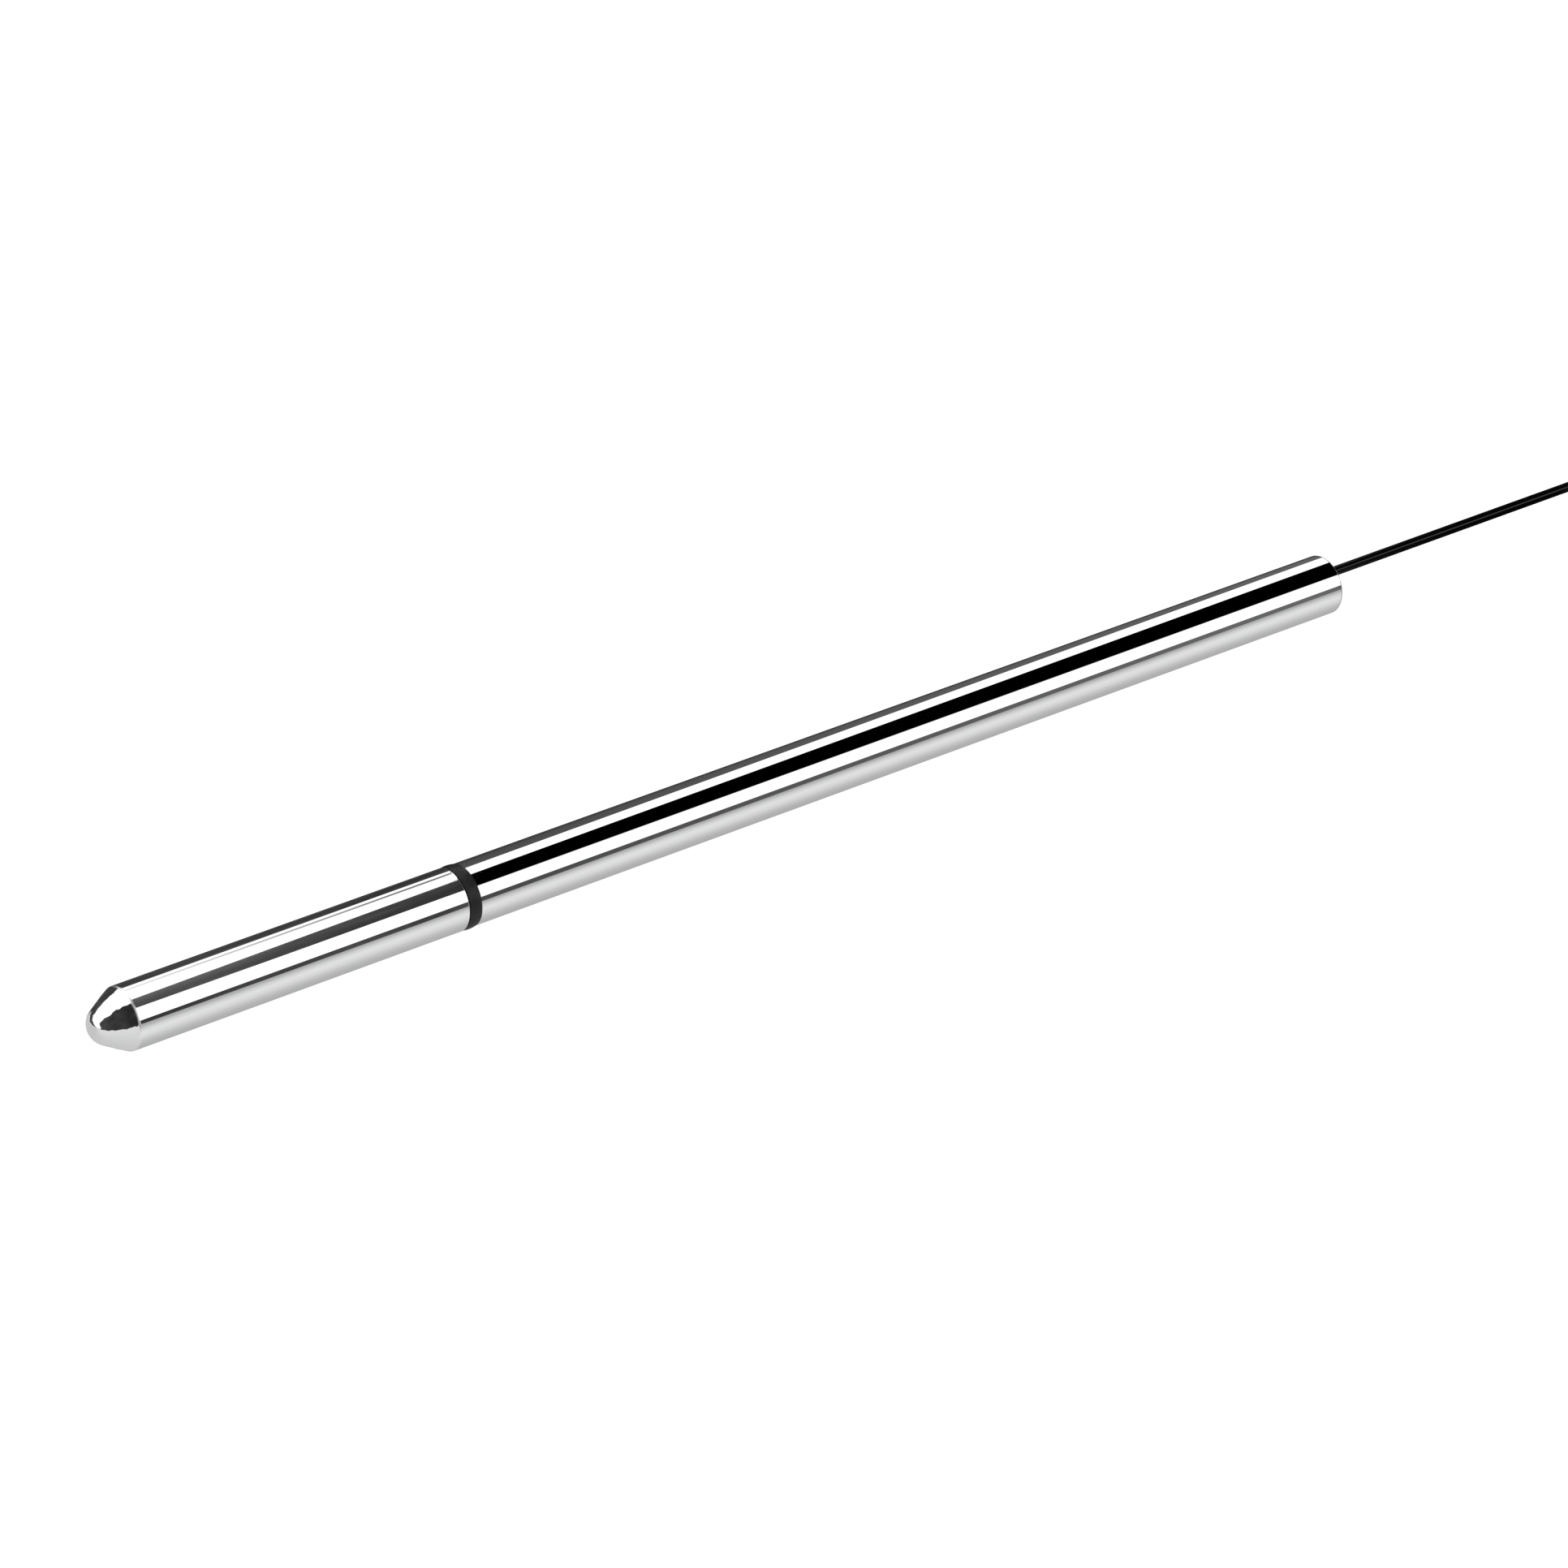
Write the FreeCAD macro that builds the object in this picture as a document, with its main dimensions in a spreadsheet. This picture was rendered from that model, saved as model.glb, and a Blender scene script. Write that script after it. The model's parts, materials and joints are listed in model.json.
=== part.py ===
import FreeCAD, Part
import Sketcher
import math
import os

# A slim thermocouple probe lying on a bench: a pointed steel nose that holds the hot junction,
# a black collar that breaks the heat path, a long steel barrel, and a thin two-core lead that
# ends in a miniature flat-pin plug. Millimetres and degrees. The origin is under the middle of
# the probe, on the surface that it lies on: +X runs from the nose tip to the lead, +Z is up.
# A "station" is a distance along the probe, counted from the nose tip.

doc = FreeCAD.newDocument("thermocouple")
sheet = doc.addObject("Spreadsheet::Sheet", "sizes")

SIZES = {
    # outside of the probe
    "nose_radius": 4.06,
    "nose_length": 52.27,
    "cone_half_angle": 29.0,
    "tip_round": 2.6,
    "nose_edge_break": 0.1,
    "ring_radius": 4.124,
    "ring_edge_radius": 4.0,
    "ring_width": 1.75,
    "barrel_radius": 4.0,
    "barrel_length": 141.45,
    "barrel_front_break": 0.15,
    "barrel_rear_break": 0.1,
    # bores, and the collar's spigots with their seals
    "nose_bore": 3.0,
    "nose_floor": 9.0,
    "drill_half_angle": 59.0,
    "barrel_bore": 3.3,
    "collar_bore": 1.55,
    "front_spigot": 6.0,
    "rear_spigot": 7.0,
    "spigot_lead_in": 0.4,
    "groove_from_ring": 2.6,
    "groove_width": 0.7,
    "groove_depth": 0.6,
    # measuring junction, thermoelements and their insulators
    "bead_station": 9.9,
    "bead_radius": 1.0,
    "bead_socket": 0.3,
    "element_radius": 0.25,
    "element_spread": 0.65,
    "insulator_radius": 1.5,
    "insulator_bore": 0.3,
    "front_insulator_station": 12.0,
    "middle_insulator_station": 45.0,
    "rear_insulator_station": 72.0,
    "insulators_end": 98.0,
    "cement_end": 17.0,
    "washer_station": 92.0,
    "washer_thickness": 2.0,
    # splices to the lead's cores
    "liner_station": 96.0,
    "liner_wall": 0.3,
    "splice_station": 100.0,
    "splice_length": 7.0,
    "splice_socket": 3.4,
    "splice_radius": 0.42,
    "sleeve_overhang": 1.5,
    "sleeve_radius": 0.6,
    "conductor_radius": 0.11,
    "core_radius": 0.25,
    "core_spread": 0.27,
    "core_bend": 12.0,
    "core_rise_station": 112.0,
    "core_level_station": 126.0,
    # lead in the barrel, and how it is held
    "cable_radius": 0.67,
    "cable_offset": 1.3,
    "jacket_station": 130.0,
    "clamp_station": 146.0,
    "clamp_length": 6.0,
    "clamp_radius": 1.2,
    "bush_station": 189.0,
    "bush_recess": 0.5,
    "bush_bevel": 0.35,
    # loose stretches of the lead: where the run slopes down, and the tail crosses to the plug
    "run_slope_start": 147.5,
    "run_slope_end": 156.5,
    "tail_slope_start": 196.5,
    "tail_slope_end": 209.0,
    # hank of the lead's unused length, and its tie
    "hank_start": 164.4,
    "hank_centre_y": -3.0,
    "hank_run": 23.0,
    "hank_columns": 3.0,
    "hank_rows": 4.0,
    "fold_radius": 4.02,
    "tie_width": 2.6,
    "tie_thickness": 0.4,
    # plug
    "plug_start": 222.0,
    "plug_length": 19.0,
    "plug_width": 16.3,
    "plug_height": 8.0,
    "plug_corner": 1.2,
    "wiring_start": 4.0,
    "wiring_length": 4.5,
    "wiring_width": 13.2,
    "wiring_depth": 2.6,
    "cap_wiring_length": 9.0,
    "blade_pitch": 7.9,
    "blade_reach": 12.5,
    "blade_root": 10.5,
    "blade_thickness": 0.8,
    "blade_tip": 0.6,
    "positive_blade_width": 2.3,
    "negative_blade_width": 3.2,
    "terminal_place": 10.5,
    "terminal_shank": 0.7,
    "terminal_head": 1.1,
    "terminal_head_height": 1.0,
    "terminal_depth": 2.0,
    "terminal_hole_spare": 0.5,
    "driver_slot": 0.3,
    "driver_slot_depth": 0.4,
    "cover_screw_place": 15.6,
    "cover_screw_shank": 0.8,
    "cover_screw_head": 1.5,
    "cover_screw_head_height": 1.1,
    "cover_screw_length": 6.2,
    "cover_screw_play": 0.1,
    "cover_screw_hole_spare": 0.3,
    "plug_core_bend": 0.8,
    "plug_core_fork": 1.2,
    "plug_core_apart": 3.4,
    "boot_length": 5.5,
    "boot_root": 1.75,
    "boot_tip": 1.0,
    "boot_spigot": 1.2,
}

for row, (alias, value) in enumerate(SIZES.items(), start=1):
    sheet.set(f"A{row}", alias)
    sheet.set(f"B{row}", str(value))
    sheet.setAlias(f"B{row}", alias)
doc.recompute()


def number_of(value):
    """The number of a size, or of a plain number."""
    return value.number if isinstance(value, Size) else float(value)


def formula_of(value):
    """The formula of a size, or of a plain number."""
    return value.formula if isinstance(value, Size) else f"({value})"


class Size:
    """A length or an angle that keeps its number and the sheet formula that gives it."""

    def __init__(self, number, formula):
        self.number = number
        self.formula = formula

    def __add__(self, other):
        return Size(self.number + number_of(other), f"({self.formula} + {formula_of(other)})")

    def __sub__(self, other):
        return Size(self.number - number_of(other), f"({self.formula} - {formula_of(other)})")

    def __mul__(self, other):
        return Size(self.number * number_of(other), f"({self.formula} * {formula_of(other)})")

    def __truediv__(self, other):
        return Size(self.number / number_of(other), f"({self.formula} / {formula_of(other)})")

    def __neg__(self):
        return Size(-self.number, f"(0 - {self.formula})")


def size(alias):
    """A driving dimension of the sheet."""
    return Size(float(sheet.get(alias)), f"sizes.{alias}")


def sine(angle):
    return Size(math.sin(math.radians(angle.number)), f"sin({angle.formula} * 1 deg)")


def cosine(angle):
    return Size(math.cos(math.radians(angle.number)), f"cos({angle.formula} * 1 deg)")


def tangent(angle):
    return Size(math.tan(math.radians(angle.number)), f"tan({angle.formula} * 1 deg)")


ZERO = Size(0.0, "0")
AXIS_HEIGHT = size("ring_radius")
PROBE_LENGTH = size("nose_length") + size("ring_width") + size("barrel_length")
TIP = -(PROBE_LENGTH / 2)
ALONG_X = FreeCAD.Rotation(FreeCAD.Vector(0, 1, 0), 90)

sub_parts = []
cuts = []


def station(alias):
    """The place along X of a point that the sheet counts from the nose tip."""
    return TIP + size(alias)


# ---- helpers for sketches and features ----------------------------------------------------------


def bind(thing, name, value):
    """Ties one property of an object to the sheet."""
    thing.setExpression(name, formula_of(value))


def put(thing, x=ZERO, y=ZERO, z=ZERO):
    """Binds an object's place."""
    for letter, value in zip("xyz", (x, y, z)):
        if value is not ZERO:
            bind(thing, f"Placement.Base.{letter}", value)


def keep(thing, label):
    """Names an object as one of the assembly's sub-parts."""
    thing.Label = label
    sub_parts.append(thing)
    return thing


def new_body(label, x=ZERO, y=ZERO, z=AXIS_HEIGHT):
    body = doc.addObject("PartDesign::Body", label)
    put(body, x, y, z)
    return keep(body, label)


def new_sketch(body, role, name, lift=ZERO):
    """An empty sketch on one of the body's own planes, moved along the plane's normal by lift."""
    sketch = body.newObject("Sketcher::SketchObject", name)
    plane = next(p for p in body.Origin.OriginFeatures if p.Role == role)
    sketch.AttachmentSupport = (plane, [""])
    sketch.MapMode = "FlatFace"
    if lift is not ZERO:
        bind(sketch, "AttachmentOffset.Base.z", lift)
    return sketch


def fix_point(sketch, piece, end, across, up):
    """Fixes one end or centre of a sketch's piece at its distances from the sketch's origin."""
    for kind, axis, value in (("DistanceX", -2, across), ("DistanceY", -1, up)):
        if value is ZERO:
            sketch.addConstraint(Sketcher.Constraint("PointOnObject", piece, end, axis))
        else:
            rule = Sketcher.Constraint(kind, -1, 1, piece, end, value.number)
            bind(sketch, f"Constraints[{sketch.addConstraint(rule)}]", value)


def fix_radius(sketch, piece, radius):
    rule = Sketcher.Constraint("Radius", piece, radius.number)
    bind(sketch, f"Constraints[{sketch.addConstraint(rule)}]", radius)


def arc_between(start, end, radius):
    """The short anticlockwise arc of a radius from start to end."""
    chord = end - start
    aside = FreeCAD.Vector(-chord.y, chord.x, 0).normalize()
    centre = (start + end) * 0.5 + aside * math.sqrt(radius**2 - (chord.Length / 2) ** 2)
    angles = [math.atan2(p.y - centre.y, p.x - centre.x) for p in (start, end)]
    return Part.ArcOfCircle(Part.Circle(centre, FreeCAD.Vector(0, 0, 1), radius), *angles)


def outline(body, role, name, corners, arcs=None, lift=ZERO):
    """A closed sketch through the corners. arcs gives a side's number the radius of a bulge to
    the left of the way round; such a side is drawn backwards, because arcs run anticlockwise."""
    arcs = arcs or {}
    sketch = new_sketch(body, role, name, lift)
    places = [FreeCAD.Vector(number_of(a), number_of(b), 0) for a, b in corners]
    for side, start in enumerate(places):
        end = places[(side + 1) % len(places)]
        if side in arcs:
            sketch.addGeometry(arc_between(end, start, arcs[side].number))
        else:
            sketch.addGeometry(Part.LineSegment(start, end))
    for side, (across, up) in enumerate(corners):
        before = (side - 1) % len(corners)
        first = 2 if side in arcs else 1
        last = 1 if before in arcs else 2
        sketch.addConstraint(Sketcher.Constraint("Coincident", before, last, side, first))
        fix_point(sketch, side, first, across, up)
    for side, radius in arcs.items():
        fix_radius(sketch, side, radius)
    return sketch


def circles(body, role, name, rounds, lift=ZERO):
    """A sketch of circles, each given as centre across, centre up and radius."""
    sketch = new_sketch(body, role, name, lift)
    for number, (across, up, radius) in enumerate(rounds):
        centre = FreeCAD.Vector(across.number, up.number, 0)
        sketch.addGeometry(Part.Circle(centre, FreeCAD.Vector(0, 0, 1), radius.number))
        fix_point(sketch, number, 3, across, up)
        fix_radius(sketch, number, radius)
    return sketch


def rectangle(low_across, high_across, low_up, high_up):
    return [
        (low_across, low_up),
        (high_across, low_up),
        (high_across, high_up),
        (low_across, high_up),
    ]


def pad(body, profile, length):
    feature = body.newObject("PartDesign::Pad", f"{profile.Name}_pad")
    feature.Profile = profile
    bind(feature, "Length", length)
    return feature


def pocket(body, profile, depth=None, along_normal=False):
    """A cut against the sketch's normal, or along it; right through when no depth is given."""
    feature = body.newObject("PartDesign::Pocket", f"{profile.Name}_cut")
    feature.Profile = profile
    feature.Reversed = along_normal
    if depth is None:
        feature.Type = "ThroughAll"
    else:
        bind(feature, "Length", depth)
    cuts.append(feature)
    return feature


def turned(label, x, corners, arcs=None, y=ZERO, z=AXIS_HEIGHT):
    """A piece turned about an axis along +X."""
    body = new_body(label, x, y, z)
    profile = outline(body, "XZ_Plane", f"{label}_profile", corners, arcs)
    turn = body.newObject("PartDesign::Revolution", f"{label}_turn")
    turn.Profile = profile
    turn.ReferenceAxis = (profile, ["H_Axis"])
    turn.Angle = 360.0
    return body


def drawn(label, x, length, rounds, y=ZERO, z=AXIS_HEIGHT):
    """A straight piece along +X with one section: the first circle less the others."""
    body = new_body(label, x, y, z)
    profile = circles(body, "YZ_Plane", f"{label}_profile", rounds)
    pad(body, profile, length)
    return body


def primitive(kind, name, place=(ZERO, ZERO, ZERO), rotation=None, **sizes):
    """A Part primitive with its sizes and its place tied to the sheet."""
    thing = doc.addObject(f"Part::{kind}", name)
    if rotation:
        thing.Placement = FreeCAD.Placement(FreeCAD.Vector(), rotation)
    for property_name, value in sizes.items():
        bind(thing, property_name, value)
    put(thing, *place)
    return thing


def less(name, base, tool):
    cut = doc.addObject("Part::Cut", name)
    cut.Base = base
    cut.Tool = tool
    return cut


def joined(name, pieces):
    fuse = doc.addObject("Part::MultiFuse", name)
    fuse.Shapes = pieces
    return fuse


# ---- helpers for cables -------------------------------------------------------------------------


def rounded_wire(points, bend=None):
    """Straight runs joined by tangent arcs: of one bend radius, or each as large as its two runs
    allow. Gives the wire and the radii."""
    edges, radii = [], []
    start = points[0]
    for before, corner, after in zip(points, points[1:], points[2:]):
        to_corner, from_corner = corner - before, after - corner
        half_turn = to_corner.getAngle(from_corner) / 2
        shorter = min(to_corner.Length, from_corner.Length)
        reach = bend * math.tan(half_turn) if bend else 0.45 * shorter
        radius = reach / math.tan(half_turn)
        to_corner.normalize()
        from_corner.normalize()
        arc_start = corner - to_corner * reach
        arc_end = corner + from_corner * reach
        inward = (from_corner - to_corner).normalize()
        arc_middle = corner + inward * (radius / math.cos(half_turn) - radius)
        edges.append(Part.LineSegment(start, arc_start).toShape())
        edges.append(Part.Arc(arc_start, arc_middle, arc_end).toShape())
        radii.append(round(radius, 1))
        start = arc_end
    edges.append(Part.LineSegment(start, points[-1]).toShape())
    return Part.Wire(edges), radii


def swept(wire, radius):
    """A round rod along a wire, with its volume tested against section times length."""
    tangent_at_start = wire.Edges[0].tangentAt(wire.Edges[0].FirstParameter)
    ring = Part.Wire(Part.makeCircle(radius, wire.Vertexes[0].Point, tangent_at_start))
    rod = wire.makePipeShell([ring], True, True)
    expected = math.pi * radius**2 * wire.Length
    if abs(rod.Volume - expected) > 0.01 * expected:
        raise RuntimeError(f"swept rod has volume {rod.Volume}, expected {expected}")
    return rod


def fixed_shape(label, shape):
    """A sub-part whose shape has no parametric feature."""
    feature = doc.addObject("Part::Feature", label)
    feature.Shape = shape
    return keep(feature, label)


def at(x, y, z):
    return FreeCAD.Vector(number_of(x), number_of(y), number_of(z))


# ---- nose ---------------------------------------------------------------------------------------


def make_nose_shell():
    """Turned steel shell: rounded point, cone, cylinder, and a drilled blind bore."""
    radius, bore = size("nose_radius"), size("nose_bore")
    half, ball = size("cone_half_angle"), size("tip_round")
    long, chamfer = size("nose_length"), size("nose_edge_break")
    rounded_off = ball / sine(half) - ball
    corners = [
        (ZERO, ZERO),
        (ball - ball * sine(half), ball * cosine(half)),
        (radius / tangent(half) - rounded_off, radius),
        (long - chamfer, radius),
        (long, radius - chamfer),
        (long, bore),
        (size("nose_floor"), bore),
        (size("nose_floor") - bore / tangent(size("drill_half_angle")), ZERO),
    ]
    turned("nose_shell", TIP, corners, arcs={0: ball})


def make_tip_cement():
    """Ceramic cement that beds the junction in the end of the bore."""
    bore, floor, end = size("nose_bore"), size("nose_floor"), size("cement_end")
    corners = [
        (floor - bore / tangent(size("drill_half_angle")), ZERO),
        (floor, bore),
        (end, bore),
        (end, ZERO),
    ]
    blank = turned("cement_blank", TIP, corners)
    sub_parts.remove(blank)
    bead, front = size("bead_station"), size("front_insulator_station")
    seat = [(ZERO, ZERO, size("insulator_radius"))]
    pocket(blank, circles(blank, "YZ_Plane", "cement_seat", seat, front), None, True)
    spread, wire = size("element_spread"), size("element_radius")
    wires = [(spread, ZERO, wire), (-spread, ZERO, wire)]
    pocket(blank, circles(blank, "YZ_Plane", "cement_wires", wires, bead), None, True)
    bead_space = primitive(
        "Sphere", "bead_space", (TIP + bead, ZERO, AXIS_HEIGHT), Radius=size("bead_radius")
    )
    keep(less("tip_cement", blank, bead_space), "tip_cement")


def make_measuring_junction():
    """Welded bead with the two wires' ends sunk into it."""
    place = station("bead_station")
    ball = primitive("Sphere", "bead_ball", (place, ZERO, AXIS_HEIGHT), Radius=size("bead_radius"))
    sockets = [
        primitive(
            "Cylinder",
            f"bead_socket_{name}",
            (place + size("bead_socket"), side, AXIS_HEIGHT),
            ALONG_X,
            Radius=size("element_radius"),
            Height=size("bead_radius"),
        )
        for name, side in both_sides("element_spread")
    ]
    junction = less("measuring_junction", ball, joined("bead_sockets", sockets))
    keep(junction, "measuring_junction")


def both_sides(alias):
    """The positive and negative conductors' places across the axis."""
    return (("positive", size(alias)), ("negative", -size(alias)))


def make_thermoelements():
    start = station("bead_station") + size("bead_socket")
    end = station("splice_station") + size("splice_socket")
    wire = [(ZERO, ZERO, size("element_radius"))]
    for name, side in both_sides("element_spread"):
        drawn(f"{name}_thermoelement", start, end - start, wire, y=side)


def make_insulators():
    """Twin-bore ceramic rods, end to end, that carry the thermoelements."""
    names = ("front_insulator", "middle_insulator", "rear_insulator")
    ends = ("middle_insulator_station", "rear_insulator_station", "insulators_end")
    bores = [(side, ZERO, size("insulator_bore")) for _, side in both_sides("element_spread")]
    section = [(ZERO, ZERO, size("insulator_radius")), *bores]
    for name, end in zip(names, ends):
        start = station(f"{name}_station")
        drawn(name, start, station(end) - start, section)


def make_magnesia_fill():
    """Compacted powder round the front insulator, from the cement to the collar."""
    start = station("cement_end")
    end = station("nose_length") - size("front_spigot")
    section = [(ZERO, ZERO, size("nose_bore")), (ZERO, ZERO, size("insulator_radius"))]
    drawn("magnesia_fill", start, end - start, section)


# ---- collar and seals ---------------------------------------------------------------------------


def make_collar():
    """Black ring with a crowned rim, and a grooved spigot into each steel part."""
    width, edge, bore = size("ring_width"), size("ring_edge_radius"), size("collar_bore")
    front, rear = size("nose_bore"), size("barrel_bore")
    from_ring, wide, deep = size("groove_from_ring"), size("groove_width"), size("groove_depth")
    lead_in = size("spigot_lead_in")
    front_end, rear_end = -size("front_spigot"), width + size("rear_spigot")
    crown_rise = size("ring_radius") - edge
    crown = (width * width / 4 + crown_rise * crown_rise) / (crown_rise * 2)
    corners = [
        (front_end, bore),
        (front_end, front - lead_in),
        (front_end + lead_in, front),
        (-(from_ring + wide), front),
        (-(from_ring + wide), front - deep),
        (-from_ring, front - deep),
        (-from_ring, front),
        (ZERO, front),
        (ZERO, edge),
        (width, edge),
        (width, rear),
        (width + from_ring, rear),
        (width + from_ring, rear - deep),
        (width + from_ring + wide, rear - deep),
        (width + from_ring + wide, rear),
        (rear_end - lead_in, rear),
        (rear_end, rear - lead_in),
        (rear_end, bore),
    ]
    turned("thermal_break_collar", station("nose_length"), corners, arcs={8: crown})


def make_o_rings():
    """One seal squeezed in each spigot's groove."""
    ring_front = station("nose_length")
    to_middle = size("groove_from_ring") + size("groove_width") / 2
    seals = (
        ("front_o_ring", ring_front - to_middle, size("nose_bore")),
        ("rear_o_ring", ring_front + size("ring_width") + to_middle, size("barrel_bore")),
    )
    section = size("groove_depth") / 2
    for name, x, wall in seals:
        ring = primitive(
            "Torus",
            name,
            (x, ZERO, AXIS_HEIGHT),
            ALONG_X,
            Radius1=wall - section,
            Radius2=section,
        )
        keep(ring, name)


# ---- barrel and what it holds -------------------------------------------------------------------


def make_barrel_tube():
    radius, bore, long = size("barrel_radius"), size("barrel_bore"), size("barrel_length")
    front, rear = size("barrel_front_break"), size("barrel_rear_break")
    corners = [
        (ZERO, bore),
        (ZERO, radius - front),
        (front, radius),
        (long - rear, radius),
        (long, radius - rear),
        (long, bore),
    ]
    turned("barrel_tube", station("nose_length") + size("ring_width"), corners)


def make_centring_washer():
    """Disc that holds the rear insulator on the barrel's axis."""
    section = [(ZERO, ZERO, size("barrel_bore")), (ZERO, ZERO, size("insulator_radius"))]
    drawn("centring_washer", station("washer_station"), size("washer_thickness"), section)


def make_insulating_liner():
    """Thin sleeve that keeps the splices off the steel."""
    outer, start = size("barrel_bore"), station("liner_station")
    section = [(ZERO, ZERO, outer), (ZERO, ZERO, outer - size("liner_wall"))]
    drawn("insulating_liner", start, station("clamp_station") - start, section)


def make_splices():
    """Crimped ferrules between thermoelements and lead, each under a shrunk sleeve."""
    start, long, deep = station("splice_station"), size("splice_length"), size("splice_socket")
    outer, overhang = size("splice_radius"), size("sleeve_overhang")
    element, conductor = size("element_radius"), size("conductor_radius")
    corners = [
        (ZERO, element),
        (ZERO, outer),
        (long, outer),
        (long, conductor),
        (long - deep, conductor),
        (long - deep, ZERO),
        (deep, ZERO),
        (deep, element),
    ]
    section = [(ZERO, ZERO, size("sleeve_radius")), (ZERO, ZERO, outer)]
    for name, side in both_sides("element_spread"):
        turned(f"{name}_splice", start, corners, y=side)
        sleeve = f"{name}_splice_sleeve"
        drawn(sleeve, start - overhang, long + overhang * 2, section, y=side)


def core_wire(x, side, end):
    """The centre line of one core, from the splices up to the lead's own level and out."""
    raised = AXIS_HEIGHT + size("cable_offset")
    inner = size("core_spread").number * math.copysign(1, side.number)
    points = [
        at(x, side, AXIS_HEIGHT),
        at(station("core_rise_station"), side, AXIS_HEIGHT),
        at(station("core_level_station"), inner, raised),
        at(end, inner, raised),
    ]
    return rounded_wire(points, bend=size("core_bend").number)[0]


def make_cores():
    """The lead's two conductors and their own insulation, inside the barrel."""
    splice_end = station("splice_station") + size("splice_length")
    end = lead_exit_x()
    for name, side in both_sides("element_spread"):
        conductor_start = splice_end - size("splice_socket")
        conductor = swept(core_wire(conductor_start, side, end), size("conductor_radius").number)
        fixed_shape(f"{name}_conductor", conductor)
        inside = core_wire(splice_end, side, end)
        insulation = swept(inside, size("core_radius").number)
        hollow = insulation.cut(swept(inside, size("conductor_radius").number))
        fixed_shape(f"{name}_core_insulation", hollow.Solids[0])


def lead_exit_x():
    """Where the lead leaves the bush."""
    return -TIP - size("bush_recess")


def make_lead_jacket():
    """The lead's jacket inside the barrel, with a bore for each core."""
    start = station("jacket_station")
    bores = [(side, ZERO, size("core_radius")) for _, side in both_sides("core_spread")]
    section = [(ZERO, ZERO, size("cable_radius")), *bores]
    raised = AXIS_HEIGHT + size("cable_offset")
    drawn("lead_jacket_in_barrel", start, lead_exit_x() - start, section, z=raised)


def make_cable_clamp():
    """Ferrule crimped on the jacket, so that a pull on the lead stops at the potting."""
    section = [(ZERO, ZERO, size("clamp_radius")), (ZERO, ZERO, size("cable_radius"))]
    raised = AXIS_HEIGHT + size("cable_offset")
    drawn("cable_clamp", station("clamp_station"), size("clamp_length"), section, z=raised)


def make_rear_potting():
    start = station("clamp_station")
    offset, long = size("cable_offset"), station("bush_station") - start
    potting = drawn("rear_potting", start, long, [(ZERO, ZERO, size("barrel_bore"))])
    lead = [(ZERO, offset, size("cable_radius"))]
    clamp = [(ZERO, offset, size("clamp_radius"))]
    pocket(potting, circles(potting, "YZ_Plane", "potting_lead", lead), None, True)
    pocket(potting, circles(potting, "YZ_Plane", "potting_clamp", clamp), size("clamp_length"), True)


def make_rear_bush():
    """Black bush that closes the barrel, with the lead's hole above its middle."""
    start = station("bush_station")
    radius, bevel, long = size("barrel_bore"), size("bush_bevel"), lead_exit_x() - start
    corners = [
        (ZERO, ZERO),
        (ZERO, radius),
        (long - bevel, radius),
        (long, radius - bevel),
        (long, ZERO),
    ]
    bush = turned("rear_bush", start, corners)
    hole = [(ZERO, size("cable_offset"), size("cable_radius"))]
    pocket(bush, circles(bush, "YZ_Plane", "bush_hole", hole), None, True)


# ---- lead outside the probe ---------------------------------------------------------------------


def outer_turn_y():
    """The place of the hank's outermost strands on the +Y side."""
    outward = (size("hank_columns") - 1) * size("cable_radius") * 2
    return size("hank_centre_y") + size("fold_radius") + outward


def make_lead_cable():
    """The lead's loose stretches: from the bush to the hank, and from the hank to the plug."""
    radius, beside = size("cable_radius"), outer_turn_y()
    level = AXIS_HEIGHT + size("cable_offset")
    top_row = radius * (size("hank_rows") * 2 - 1)
    run = [
        at(lead_exit_x(), 0, level),
        at(size("run_slope_start"), 0, level),
        at(size("run_slope_end"), beside, top_row),
        at(size("hank_start"), beside, top_row),
    ]
    middle = size("plug_height") / 2
    tail = [
        at(size("hank_start") + size("hank_run"), beside, radius),
        at(size("tail_slope_start"), beside, radius),
        at(size("tail_slope_end"), size("hank_centre_y"), middle),
        at(size("plug_start") + size("wiring_start"), size("hank_centre_y"), middle),
    ]
    for label, points in (("lead_cable_run", run), ("lead_cable_tail", tail)):
        wire, radii = rounded_wire(points)
        fixed_shape(label, swept(wire, radius.number))
        print(f"{label}: {wire.Length:.1f} mm, bend radii {radii} mm")


def stadium(name, half_width, height):
    """A block with round ends, as long between their centres as the hank's straight runs."""
    x, y, run = size("hank_start"), size("hank_centre_y"), size("hank_run")
    block = primitive(
        "Box",
        f"{name}_block",
        (x, y - half_width, ZERO),
        Length=run,
        Width=half_width * 2,
        Height=height,
    )
    ends = [
        primitive("Cylinder", f"{name}_{end}", (place, y, ZERO), Radius=half_width, Height=height)
        for end, place in (("near_end", x), ("far_end", x + run))
    ]
    return joined(name, [block, *ends])


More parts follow.
